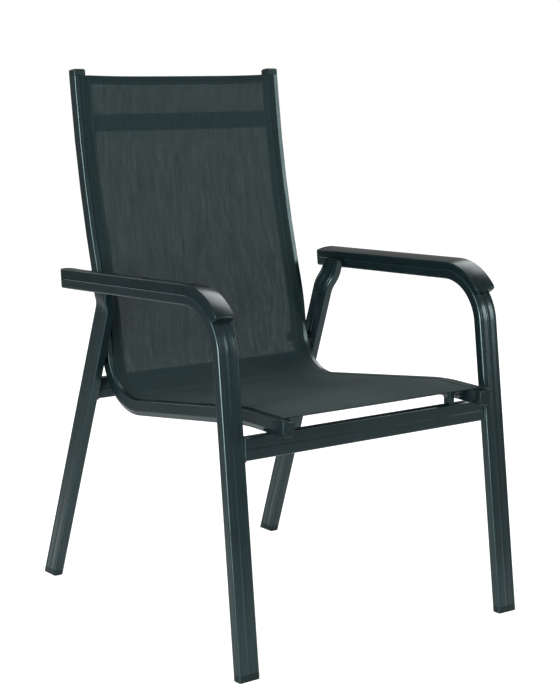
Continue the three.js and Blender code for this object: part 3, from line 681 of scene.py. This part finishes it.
def coated(name, rgb, roughness, specular=0.5, peel=0.002, speck=0.0004, depth=0.00003, rub=0.6, dust=0.05):
    """A sprayed or moulded finish: grain, cloudy gloss, polished edges and a little dust."""
    material, tree, inputs = new_material(name, roughness, specular, finishes().sheen_tint)
    grain = place_group(tree, coat_grain_group(), Peel_size=peel, Speck_size=speck, Speck_share=0.35)
    edge = place_group(tree, edge_rub_group(), Amount=rub)["Mask"]
    fallen = place_group(tree, dust_group(), Amount=dust)["Mask"]
    base = tones(tree, grain["Tone"], rgb, 0.82, 1.22)
    polished = tint(tree, edge, base, scaled(rgb, 2.2))
    feed(tree, inputs["Base Color"], tint(tree, fallen, polished, DUST))
    matt = between(tree, grain["Gloss"], roughness - 0.03, roughness + 0.05)
    duller = calc(tree, "MULTIPLY_ADD", fallen, 0.3, matt)
    feed(tree, inputs["Roughness"], calc(tree, "MULTIPLY_ADD", edge, -0.06, duller))
    bump(tree, inputs, grain["Height"], depth)
    return material


@made_once("materials", "Powder coat")
def powder_coat(name):
    return coated(name, finishes().powder, finishes().powder_roughness, peel=0.0022, speck=0.0005)


@made_once("materials", "Cap plastic")
def cap_plastic(name):
    return coated(name, finishes().cap, 0.42, specular=0.28, peel=0.0012, speck=0.0003, depth=0.00005)


@made_once("materials", "Arm pad plastic")
def pad_plastic(name):
    return coated(name, finishes().pad, 0.26, specular=0.22, peel=0.0016, depth=0.00005)


@made_once("materials", "Edge rod plastic")
def rod_plastic(name):
    return coated(name, finishes().rod, 0.5, specular=0.4, rub=0.0)


@made_once("materials", "Zinc plate")
def zinc_plate(name):
    """Dull zinc with brushed cloudiness and spots."""
    material, tree, inputs = new_material(name, 0.34, 0.5, WHITE, metallic=1.0)
    grain = place_group(tree, coat_grain_group(), Peel_size=0.003, Speck_size=0.0006, Speck_share=0.5)
    feed(tree, inputs["Base Color"], tones(tree, grain["Tone"], finishes().zinc, 0.7, 1.15))
    feed(tree, inputs["Roughness"], between(tree, grain["Gloss"], 0.28, 0.46))
    bump(tree, inputs, grain["Height"], 0.00004)
    return material


def woven(name, brightness=1.0):
    """Coated yarn, woven. Returns the material, its tree, the shader's inputs and the weave."""
    look, sizes = finishes(), bpy.context.scene.sling_sizes
    roughness = look.mesh_roughness
    material, tree, inputs = new_material(name, roughness, 0.16, look.sheen_tint)
    weave = place_group(tree, weave_group(), Warp_pitch=sizes.warp_pitch, Weft_pitch=sizes.weft_pitch)
    rgb = tuple(c * brightness for c in look.mesh)
    yarn = tones(tree, weave["Streak"], rgb, 0.55, 1.45)
    # Painted shade: the yarn's colour darkens to about a third where the weave lies low, between and under
    # the yarns
    feed(tree, inputs["Base Color"], tint(tree, weave["Height"], scaled(rgb, 0.35), yarn))
    feed(tree, inputs["Roughness"], between(tree, weave["Streak"], roughness - 0.05, roughness + 0.08))
    bump(tree, inputs, weave["Height"], 0.00022, 0.7)
    inputs["Sheen Weight"].default_value = look.mesh_sheen
    inputs["Sheen Roughness"].default_value = 0.5
    inputs["Sheen Tint"].default_value = (*look.sheen_tint, 1.0)
    return material, tree, inputs, weave


@made_once("materials", "Sling mesh")
def mesh_cloth(name):
    """One layer of mesh, whose openings close at a slant."""
    material, tree, inputs, weave = woven(name)
    slant = add_node(tree, "ShaderNodeLayerWeight", {"Blend": 0.5}).outputs["Facing"]
    see_through = remap(tree, slant, 0.3, 0.72, finishes().mesh_opening, 0.0)
    clear = calc(tree, "MULTIPLY", weave["Opening"], see_through)
    streaky = calc(tree, "MULTIPLY", clear, between(tree, weave["Streak"], 0.55, 1.45), clamp=True)
    feed(tree, inputs["Alpha"], calc(tree, "SUBTRACT", 1.0, streaky))
    return material


@made_once("materials", "Sling hem")
def hem_cloth(name):
    """Folded mesh, darker and closed."""
    return woven(name, brightness=0.72)[0]


@made_once("materials", "Sewing thread")
def sewing_thread(name):
    """Twisted thread."""
    material, tree, inputs = new_material(name, 0.5, 0.4, finishes().sheen_tint)
    grain = place_group(tree, coat_grain_group(), Peel_size=0.0006, Speck_size=0.0002, Speck_share=0.5)
    feed(tree, inputs["Base Color"], tones(tree, grain["Tone"], finishes().thread, 0.75, 1.3))
    bump(tree, inputs, grain["Height"], 0.00008)
    return material


# Lines of the chair's own members

def rail_line(step, y=SEAT_FRONT[0]):
    return (
        BentLine(y, SEAT_FRONT[1], FRONT_RISE, step)
        .run(FRONT_RUN)
        .bend_to(-SEAT_FALL, WATERFALL_RADIUS)
        .run(SEAT_RUN)
        .bend_to(90 - LOWER_BACK_LEAN, SEAT_BEND_RADIUS)
        .run(LOWER_BACK_RUN)
        .bend_to(90 - MIDDLE_BACK_LEAN, LUMBAR_RADIUS)
        .run(MIDDLE_BACK_RUN)
        .bend_to(90 - TOP_LEAN, BACK_BOW_RADIUS)
        .run(TOP_RUN)
    )


def rail_end_y(step):
    return rail_line(step).stations[-1][0]


def rail_middle(step):
    """How far the middle of the rail lies from the chair's middle, by its place front to back."""
    end = rail_end_y(step)
    return lambda y: RAIL_MIDDLE + math.tan(RAIL_TOE) * (y - end)


def middle_of(node):
    """The middle of a solid's box, front to back and in height."""
    low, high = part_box(node)
    return (low.y + high.y) / 2, (low.z + high.z) / 2


def front_foot_y():
    bolt_y, _ = middle_of("front_bolt_left")
    return bolt_y - FRONT_BAR_SETBACK - FRONT_BAR_Z * math.tan(math.radians(FRONT_LEG_LEAN))


def side_placement(side):
    turn = Matrix.Rotation(-side * SIDE_TOE, 4, "Z") @ Matrix.Rotation(-side * SIDE_TILT, 4, "Y")
    return Matrix.Translation((side * FRONT_FOOT_X, front_foot_y(), 0)) @ turn


def side_runs():
    """Straight lengths of the front leg and the arm between their bend and their ends."""
    lean, rise = math.radians(FRONT_LEG_LEAN), math.radians(ARM_RISE)
    trim = ARM_BEND_RADIUS * math.tan((math.pi / 2 - lean + rise) / 2)
    corner_y = front_foot_y() + ARM_CORNER_Z * math.tan(lean)
    return ARM_CORNER_Z / math.cos(lean) - trim, (ARM_REAR_Y - corner_y) / math.cos(rise) - trim


def side_line(step):
    leg, arm = side_runs()
    return BentLine(0, 0, 90 - FRONT_LEG_LEAN, step).run(leg).bend_to(-ARM_RISE, ARM_BEND_RADIUS).run(arm)


def pad_line(step):
    """The arm's line, from the pad's lip in the bend to the rear end."""
    leg, arm = side_runs()
    lip = leg + ARM_BEND_RADIUS * math.radians(90 - FRONT_LEG_LEAN - PAD_LIP_HEADING)
    y, z, heading = side_line(step).place(lip)
    return BentLine(y, z, heading, step).bend_to(-ARM_RISE, ARM_BEND_RADIUS).run(arm)


def rear_leg_facts(sizes):
    """Lean, slope of the splay and foot place of the rear leg."""
    bolt_y, bolt_z = middle_of("rear_bolt_left")
    lean = math.atan((REAR_FOOT_Y - bolt_y + BOLT_BEHIND_LEG) / bolt_z)
    splay = math.radians(REAR_LEG_SPLAY)
    slope = math.tan(splay) / math.cos(lean)
    rail_outer = rail_middle(sizes.bend_step)(bolt_y) + sizes.rail_width / 2 / math.cos(RAIL_TOE)
    foot_x = rail_outer + BOLT_TO_LEG + sizes.tube_depth / 2 / math.cos(splay) + bolt_z * slope
    return lean, slope, foot_x


def rear_placement(side, sizes):
    lean, _, foot_x = rear_leg_facts(sizes)
    turn = Matrix.Rotation(lean, 4, "X") @ Matrix.Rotation(-side * math.pi / 2, 4, "Z")
    return Matrix.Translation((side * foot_x, REAR_FOOT_Y, 0)) @ turn


def side_inner(y, z, sizes):
    """How far the arm tube's inner face lies from the chair's middle."""
    lean = math.tan(SIDE_TILT) * z / math.cos(SIDE_TOE)
    middle = FRONT_FOOT_X + math.tan(SIDE_TOE) * (y - front_foot_y()) - lean
    return middle - sizes.tube_width / 2 / (math.cos(SIDE_TOE) * math.cos(SIDE_TILT))


def rear_line(sizes, stub=0.004):
    """In the rear leg's own plane, its first axis outward."""
    lean, slope, foot_x = rear_leg_facts(sizes)
    start, end = 90 + REAR_LEG_SPLAY, 90 + math.degrees(SIDE_TILT)
    top_y = REAR_FOOT_Y - REAR_LEG_TOP_Z * math.tan(lean) - sizes.tube_width / math.cos(lean) / 2
    arm_inner = side_inner(top_y, REAR_LEG_TOP_Z, sizes)
    jog_out = arm_inner - TOUCH_GAP - sizes.tube_depth / 2 - (foot_x - JOG_START_Z * slope)
    sines = math.sin(math.radians(start)) + math.sin(math.radians(end))
    jog_heading = math.degrees(math.asin((sines - jog_out / JOG_RADIUS) / 2))
    return (
        BentLine(0, 0, start, sizes.bend_step)
        .run(JOG_START_Z / math.cos(lean) / math.cos(math.radians(REAR_LEG_SPLAY)))
        .bend_to(jog_heading, JOG_RADIUS)
        .bend_to(end, JOG_RADIUS)
        .run(stub)
    )


# Pieces

class Step:
    """What the chair's operators share."""

    bl_options = {"REGISTER", "UNDO"}


class CHAIR_OT_side_tubes(Step, bpy.types.Operator):
    """Front leg and arm of each side, bent from one grooved tube"""

    bl_idname = "chair.side_tubes"
    bl_label = "Side Tubes"

    def execute(self, context):
        sizes = context.scene.frame_sizes
        for side, name in SIDES:
            make_swept(
                f"side_tube_coated_{name}", tube_outline(sizes), side_line(sizes.bend_step),
                side_placement(side), powder_coat(), f"side_tube_{name}", side,
                levels=(FOOT_HEIGHT + TOUCH_GAP, None),
            )
        return {"FINISHED"}


class CHAIR_OT_rear_legs(Step, bpy.types.Operator):
    """Rear legs of grooved tube, stepped out at the top to lie against the arm"""

    bl_idname = "chair.rear_legs"
    bl_label = "Rear Legs"

    def execute(self, context):
        sizes = context.scene.frame_sizes
        for side, name in SIDES:
            make_swept(
                f"rear_leg_coated_{name}", tube_outline(sizes), rear_line(sizes),
                rear_placement(side, sizes), powder_coat(), f"rear_leg_{name}",
                levels=(FOOT_HEIGHT + TOUCH_GAP, REAR_LEG_TOP_Z),
            )
            soften_solid(f"rear_leg_lid_{name}", powder_coat(), sizes.edge_round)
        return {"FINISHED"}


class CHAIR_OT_feet(Step, bpy.types.Operator):
    """Moulded feet under the four legs"""

    bl_idname = "chair.feet"
    bl_label = "Feet"

    def execute(self, context):
        sizes = context.scene.frame_sizes
        outline, rub = supported(tube_outline(sizes, grooved=False))
        faces = ring_faces(len(FOOT_RINGS), len(outline))
        for side, name in SIDES:
            legs = (
                ("front", side_line(sizes.bend_step), side_placement(side), side),
                ("rear", rear_line(sizes), rear_placement(side, sizes), 1),
            )
            for where, line, placement, drawn_side in legs:
                aim = aim_along(line, 0, placement)
                points = []
                for level, inset in FOOT_RINGS:
                    placed = [placement @ p for p in ring(outline, line, 0, drawn_side, inset)]
                    trim_level(placed, aim, level)
                    points += placed
                make_piece(
                    f"foot_moulded_{where}_{name}", points, faces, cap_plastic(),
                    [f"{where}_foot_{name}"], rub=rub * len(FOOT_RINGS),
                )
        return {"FINISHED"}


class CHAIR_OT_sling_rails(Step, bpy.types.Operator):
    """Bent sling rails with their slot and rod channel"""

    bl_idname = "chair.sling_rails"
    bl_label = "Sling Rails"

    def execute(self, context):
        sizes = context.scene.frame_sizes
        end = rail_end_y(sizes.bend_step)
        line = rail_line(sizes.bend_step, SEAT_FRONT[0] - end)
        for side, name in SIDES:
            turn = Matrix.Rotation(-side * RAIL_TOE, 4, "Z")
            make_swept(
                f"sling_rail_coated_{name}", rail_outline(sizes), line,
                Matrix.Translation((side * RAIL_MIDDLE, end, 0)) @ turn, powder_coat(),
                f"sling_rail_{name}", side,
            )
            soften_solid(f"keder_rod_{name}", rod_plastic(), 0)
            for where in ("top", "front"):
                soften_solid(f"rail_{where}_cap_{name}", cap_plastic(), sizes.edge_round)
        return {"FINISHED"}


def pad_outline(
    sizes, width=0.0412, outer=0.0165, inner=0.0125, crown=0.0010, corner=0.003, foot=0.0003, steps=16
):
    """Section of the arm pad, outward and up from the middle of the arm tube."""
    base = sizes.tube_depth / 2 + TOUCH_GAP
    half = width / 2
    flat = half - corner

    def top(part):
        """A point of the crowned top, from its outer to its inner side."""
        rise = outer + (inner - outer) * part + 4 * crown * part * (1 - part)
        return flat * (1 - 2 * part), base + rise

    return [
        *arc(half - foot, base + foot, foot, -90, 0, 2),
        *arc(flat, base + outer - corner, corner, 0, 90),
        *(top(i / steps) for i in range(1, steps)),
        *arc(-flat, base + inner - corner, corner, 90, 180),
        *arc(foot - half, base + foot, foot, 180, 270, 2),
    ]


class CHAIR_OT_arm_pads(Step, bpy.types.Operator):
    """Moulded arm pads, their end plugs and screws"""

    bl_idname = "chair.arm_pads"
    bl_label = "Arm Pads"

    def execute(self, context):
        sizes = context.scene.frame_sizes
        for side, name in SIDES:
            make_swept(
                f"arm_pad_moulded_{name}", pad_outline(sizes), pad_line(sizes.bend_step),
                side_placement(side), pad_plastic(), f"arm_pad_{name}", side,
                rounds=PAD_END_ROUNDS,
            )
            soften_solid(f"arm_end_plug_{name}", cap_plastic(), sizes.edge_round)
            for where in ("front", "rear"):
                soften_solid(f"pad_screw_{where}_{name}", zinc_plate(), sizes.edge_round)
        return {"FINISHED"}


def weld_bead(loop, radius, ripple_share=0.12, ripple_pitch=0.0021, sides=8):
    """A closed bead with the ripples of a weld along a loop of points."""
    count = len(loop)
    points = []
    travelled = 0.0
    for i, here in enumerate(loop):
        ahead, back = loop[(i + 1) % count], loop[i - 1]
        travelled += (here - back).length
        heading = (ahead - back).normalized()
        across = heading.cross(Vector((1, 0, 0))).normalized()
        up = across.cross(heading)
        swell = radius * (1 + ripple_share * math.sin(travelled / ripple_pitch * 2 * math.pi))
        for k in range(sides):
            turn = 2 * math.pi * k / sides
            points.append(here + (across * math.cos(turn) + up * math.sin(turn)) * swell)
    return points, ring_faces(count, sides, closed=True)


def even_loop(outline, spacing):
    """Points at an even spacing round an outline."""
    points = [Vector(p) for p in outline]
    loop = []
    for i, here in enumerate(points):
        gap = points[(i + 1) % len(points)] - here
        count = max(1, round(gap.length / spacing))
        loop += [here + gap * k / count for k in range(count)]
    return loop


def bar_welds(where, sizes, width=0.0176, height=0.0386, corner=0.0028, inset=0.0006, spacing=0.0005):
    """Beads round both ends of a level bar, whose middle comes from its solid."""
    bar = f"{where}_crossbar"
    y, z = middle_of(bar)
    outline = even_loop(rounded_box(width, height, corner), spacing)
    points, faces = [], []
    for side, _ in SIDES:
        at = side * (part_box(bar)[1].x - inset)
        more, more_faces = weld_bead([Vector((at, y + p.x, z + p.y)) for p in outline], sizes.bead_radius)
        faces += [tuple(i + len(points) for i in face) for face in more_faces]
        points += more
    make_piece(f"{where}_bar_welds", points, faces, powder_coat(), crease=SMOOTH_CREASE)


class CHAIR_OT_cross_bars(Step, bpy.types.Operator):
    """Cross bars, upper spreader bar, front posts and their welds"""

    bl_idname = "chair.cross_bars"
    bl_label = "Cross Bars"

    def execute(self, context):
        sizes = context.scene.frame_sizes
        bars = ("front_crossbar", "rear_crossbar", "upper_spreader_bar")
        for node in (*bars, *(f"front_post_{name}" for _, name in SIDES)):
            soften_solid(node, powder_coat(), sizes.edge_round * BAR_ROUND_SHARE)
        for where in ("front", "rear"):
            bar_welds(where, sizes)
        return {"FINISHED"}


class CHAIR_OT_fasteners(Step, bpy.types.Operator):
    """Bolts, rivet nuts, spacers and bolt caps"""

    bl_idname = "chair.fasteners"
    bl_label = "Fasteners"

    def execute(self, context):
        edge = context.scene.frame_sizes.edge_round
        for _, name in SIDES:
            for node in ("front_bolt", "rear_bolt", "front_rivet_nut", "rear_rivet_nut", "front_spacer"):
                soften_solid(f"{node}_{name}", zinc_plate(), edge * FASTENER_ROUND_SHARE)
            for node in ("rear_bolt_cap", "rear_spacer"):
                soften_solid(f"{node}_{name}", cap_plastic(), edge)
        return {"FINISHED"}


class ClothPlan:
    """Places on the stretched cloth, by distance from the chair's middle and along the rail's line."""

    def __init__(self, sizes, step):
        self.sizes = sizes
        self.line = rail_line(step)
        self.middle = rail_middle(step)
        self.ends = (("front", 0.0, 1), ("top", self.line.length, -1))
        self.layer = sizes.hem_level - sizes.cloth_thickness / 2
        self.hem_layer = sizes.hem_level - sizes.hem_thickness / 2

    def inner(self, along):
        return self.middle(self.line.place(along)[0]) - self.sizes.hem_width

    def bowed(self, x, along):
        """The cloth's own length drawn in a little at both ends between the rails."""
        part = min(1.0, abs(x) / self.inner(along))
        bow = self.sizes.edge_bow * (1 - part**4)
        return bow + (self.line.length - 2 * bow) * along / self.line.length

    def point(self, x, along, above=0.0):
        part = abs(x) / self.inner(along)
        if part < 1:
            level = self.layer - self.sizes.sag * (1 - part * part)
        else:
            under = min(1.0, (abs(x) - self.inner(along)) / self.sizes.hem_width)
            level = self.layer + (self.hem_layer - self.layer) * under
        y, z, _ = self.line.place(self.bowed(x, along), level + above)
        return Vector((x, y, z))


def cloth_panel(plan, sizes):
    """The sheet itself, one layer from slot to slot."""
    points, uv = [], []
    hem_shares = [1 / 3, 2 / 3, 1]
    inner_shares = [2 * i / sizes.columns - 1 for i in range(sizes.columns + 1)]
    count = sizes.columns + 1 + 2 * len(hem_shares)
    for row in range(sizes.rows + 1):
        along = plan.line.length * row / sizes.rows
        inner = plan.inner(along)
        xs = [-inner - sizes.hem_width * s for s in reversed(hem_shares)]
        xs += [inner * s for s in inner_shares]
        xs += [inner + sizes.hem_width * s for s in hem_shares]
        points += [plan.point(x, along) for x in xs]
        uv += [(x + 0.5, along) for x in xs]
    corners = [i * count + j for i in range(sizes.rows) for j in range(count - 1)]
    return points, [(i, i + 1, i + count + 1, i + count) for i in corners], uv


def side_hem(plan, sizes, side, tongue=-0.0029, lip=0.0006):
    """A pressed hem along one rail, with the tongue that goes down the slot to the rod."""
    half, wide = sizes.hem_thickness / 2, sizes.hem_width
    top, bottom = sizes.hem_level, sizes.hem_level - sizes.hem_thickness
    outline = [
        (half, tongue),
        *arc(half - lip, top - lip, lip, 0, 90, 3),
        (-wide / 2, top),
        *arc(lip - wide, top - lip, lip, 90, 180, 3),
        *arc(lip - wide, bottom + lip, lip, 180, 270, 3),
        (-wide / 2, bottom),
        (-half, bottom),
        (-half, tongue),
    ]
    points, uv = [], []
    for row in range(sizes.rows + 1):
        along = plan.line.length * row / sizes.rows
        points += ring(outline, plan.line, along, side, middle=plan.middle)
        at = plan.middle(plan.line.place(along)[0])
        uv += [(side * (at + x) + 0.5, along) for x, _ in outline]
    return points, ring_faces(sizes.rows + 1, len(outline)), uv


def end_hem(plan, sizes, edge, inward, corner=0.0007, lip=0.0003, overlap=0.0015):
    """A folded hem across the cloth at one end. It goes inward from the edge by its width."""
    wide, up = sizes.end_hem_width, sizes.cloth_thickness * HEM_TOP_SHARE
    down = sizes.cloth_thickness * HEM_UNDER_SHARE
    section = [
        *arc(corner, up - corner, corner, 180, 90, 3),
        (wide / 2, up),
        *arc(wide - lip, up - lip, lip, 90, 0, 2),
        (wide, -down + lip),
        (wide / 2, -down),
        *arc(corner, corner - down, corner, 270, 180, 3),
    ]
    points, uv = [], []
    for column in range(sizes.columns + 1):
        part = 2 * column / sizes.columns - 1
        for distance, above in section:
            along = edge + inward * distance
            x = (plan.inner(along) + overlap) * part
            points.append(plan.point(x, along, above))
            uv.append((x + 0.5, along))
    return points, ring_faces(sizes.columns + 1, len(section)), uv


def stitch_row(places, spread=0.00042, rise=0.00035, sides=6):
    """Short raised stitches between pairs of points, each with the cloth's normal there."""
    points, faces = [], []
    for start, end, normal in places:
        aim = end - start
        across = aim.cross(normal).normalized()
        first = len(points)
        for share_along, swell in STITCH_SWELL_SHARES:
            centre = start + aim * share_along
            for k in range(sides):
                turn = math.pi * 2 * k / sides
                offset = across * math.cos(turn) * spread + normal * math.sin(turn) * rise
                points.append(centre + offset * swell)
        faces += [tuple(i + first for i in face) for face in ring_faces(len(STITCH_SWELL_SHARES), sides)]
    return points, faces


def sling_stitches(
    plan, sizes, lift=0.0001, from_edge=0.0025, from_rail=0.002, from_end=0.003, into_hem=0.0035, probe=0.001
):
    """Rows of stitches along the side hems and the end hems."""
    pitch, stitch = sizes.stitch_pitch, sizes.stitch_pitch * STITCH_SHARE
    above = sizes.cloth_thickness * HEM_TOP_SHARE + lift
    places = []
    for _, edge, inward in plan.ends:
        along = edge + inward * (sizes.end_hem_width - from_edge)
        inner = plan.inner(along) - from_rail
        for i in range(int(2 * inner / pitch)):
            x = -inner + i * pitch
            start = plan.point(x, along, above)
            normal = (plan.point(x, along, above + probe) - start).normalized()
            places.append((start, plan.point(x + stitch, along, above), normal))
    for side, _ in SIDES:
        for i in range(int((plan.line.length - 2 * from_end) / pitch)):
            along = from_end + i * pitch
            x = side * (plan.inner(along) + into_hem)
            y, z, heading = plan.line.place(along, sizes.hem_level + lift)
            far_y, far_z, _ = plan.line.place(along + stitch, sizes.hem_level + lift)
            turn = math.radians(heading)
            normal = Vector((0, -math.sin(turn), math.cos(turn)))
            places.append((Vector((x, y, z)), Vector((x, far_y, far_z)), normal))
    return stitch_row(places)


class CHAIR_OT_sling(Step, bpy.types.Operator):
    """Stretched mesh sling with its hems and stitching"""

    bl_idname = "chair.sling"
    bl_label = "Sling"

    def execute(self, context):
        sizes = context.scene.sling_sizes
        plan = ClothPlan(sizes, context.scene.frame_sizes.bend_step)
        points, faces, uv = cloth_panel(plan, sizes)
        panel = make_piece(
            "sling_mesh", points, faces, mesh_cloth(), ["sling"], uv=uv, crease=SMOOTH_CREASE
        )
        hems = [(f"sling_side_hem_{name}", side_hem(plan, sizes, side)) for side, name in SIDES]
        hems += [
            (f"sling_{name}_hem", end_hem(plan, sizes, edge, inward)) for name, edge, inward in plan.ends
        ]
        trims = [
            make_piece(name, points, faces, hem_cloth(), uv=uv)
            for name, (points, faces, uv) in hems
        ]
        points, faces = sling_stitches(plan, sizes)
        trims.append(make_piece(
            "sling_stitching", points, faces, sewing_thread(), crease=SMOOTH_CREASE
        ))
        width = plan.middle(SEAT_FRONT[0]) + plan.middle(plan.line.stations[-1][0])
        return {"FINISHED"}


# Studio

def area_lamp(name, place, target, size, power):
    lamp = bpy.data.lights.new(name, "AREA")
    lamp.shape = "RECTANGLE"
    lamp.size, lamp.size_y = size
    lamp.energy = power
    item = bpy.data.objects.new(name, lamp)
    item.location = place
    item.rotation_euler = (Vector(target) - Vector(place)).to_track_quat("-Z", "Y").to_euler()
    bpy.context.scene.collection.objects.link(item)


def floor_material(settings):
    """A matt pale floor that looks white and keeps the chair's shadow; in reflections a painted fall-off
    darkens it far off.
    """
    material = bpy.data.materials.new("Studio floor")
    material.use_nodes = True
    tree = material.node_tree
    tree.nodes.clear()
    seen = add_node(tree, "ShaderNodeLightPath").outputs
    place = add_node(tree, "ShaderNodeNewGeometry").outputs["Position"]
    distance = add_node(tree, "ShaderNodeVectorMath", {0: place}, operation="LENGTH").outputs["Value"]
    # Painted pool of light: seen in reflections, the floor darkens with distance from the chair
    painted_falloff = calc(tree, "MULTIPLY", seen["Is Glossy Ray"], remap(tree, distance, *FLOOR_DARKENS))
    shade = tint(tree, painted_falloff, (*settings.floor, 1.0), scaled(settings.floor, FLOOR_DARK_SHARE))
    matt = add_node(tree, "ShaderNodeBsdfDiffuse", {"Color": shade}).outputs[0]
    glow = add_node(tree, "ShaderNodeEmission", {"Strength": FLOOR_GLOW}).outputs[0]
    glow_part = calc(tree, "MULTIPLY", seen["Is Camera Ray"], FLOOR_GLOW_SHARE)
    both = add_node(tree, "ShaderNodeMixShader", {0: glow_part, 1: matt, 2: glow}).outputs[0]
    add_node(tree, "ShaderNodeOutputMaterial", {"Surface": both})
    return material


class CHAIR_OT_studio(Step, bpy.types.Operator):
    """Pale floor, soft lamps, white surroundings and camera"""

    bl_idname = "chair.studio"
    bl_label = "Studio"

    def execute(self, context):
        scene = context.scene
        settings = scene.studio_settings
        mesh = bpy.data.meshes.new("studio_floor")
        corners = ((-1, -1), (1, -1), (1, 1), (-1, 1))
        mesh.from_pydata([(x * FLOOR_REACH, y * FLOOR_REACH, 0) for x, y in corners], [], [(0, 1, 2, 3)])
        mesh.materials.append(floor_material(settings))
        floor = bpy.data.objects.new("studio_floor", mesh)
        scene.collection.objects.link(floor)
        for where, (place, target, size) in LAMPS.items():
            area_lamp(f"{where}_lamp", place, target, size, getattr(settings, f"{where}_power"))

        scene.world = bpy.data.worlds.new("Studio surroundings")
        scene.world.use_nodes = True
        tree = scene.world.node_tree
        background = tree.nodes["Background"].inputs
        background["Color"].default_value = (*WHITE, 1)
        seen = add_node(tree, "ShaderNodeLightPath").outputs
        soft = between(tree, seen["Is Glossy Ray"], settings.ambient, settings.mirrored)
        feed(tree, background["Strength"], between(tree, seen["Is Camera Ray"], soft, 1.0))

        lens = bpy.data.cameras.new("studio_camera")
        lens.sensor_width = SENSOR_WIDTH
        lens.lens = settings.lens
        camera = bpy.data.objects.new("studio_camera", lens)
        camera.location = CAMERA_PLACE
        camera.rotation_euler = CAMERA_TURN
        scene.collection.objects.link(camera)
        scene.camera = camera
        scene.view_settings.view_transform = "Standard"
        return {"FINISHED"}


class CHAIR_PT_workshop(bpy.types.Panel):
    """Lists the chair's pieces, sizes and finishes"""

    bl_idname = "CHAIR_PT_workshop"
    bl_label = "Sling Patio Chair"
    bl_space_type = "VIEW_3D"
    bl_region_type = "UI"
    bl_category = "Patio Chair"

    def draw(self, context):
        column = self.layout.column(align=True)
        for operator in STEPS:
            column.operator(operator.bl_idname)
        for attribute, _ in SETTINGS:
            box = self.layout.box()
            group = getattr(context.scene, attribute)
            for name in group.__annotations__:
                box.prop(group, name)


STEPS = (
    CHAIR_OT_studio,
    CHAIR_OT_side_tubes,
    CHAIR_OT_rear_legs,
    CHAIR_OT_feet,
    CHAIR_OT_sling_rails,
    CHAIR_OT_arm_pads,
    CHAIR_OT_cross_bars,
    CHAIR_OT_fasteners,
    CHAIR_OT_sling,
)
SETTINGS = (
    ("frame_sizes", FrameSizes),
    ("sling_sizes", SlingSizes),
    ("chair_finishes", ChairFinishes),
    ("studio_settings", StudioSettings),
)


def register():
    for attribute, group in SETTINGS:
        bpy.utils.register_class(group)
        setattr(bpy.types.Scene, attribute, PointerProperty(type=group))
    for item in (*STEPS, CHAIR_PT_workshop):
        bpy.utils.register_class(item)


def unregister():
    for item in reversed((*STEPS, CHAIR_PT_workshop)):
        bpy.utils.unregister_class(item)
    for attribute, group in reversed(SETTINGS):
        delattr(bpy.types.Scene, attribute)
        bpy.utils.unregister_class(group)


def main():
    register()
    for operator in STEPS:
        family, name = operator.bl_idname.split(".")
        getattr(getattr(bpy.ops, family), name)()


if __name__ == "__main__":
    main()
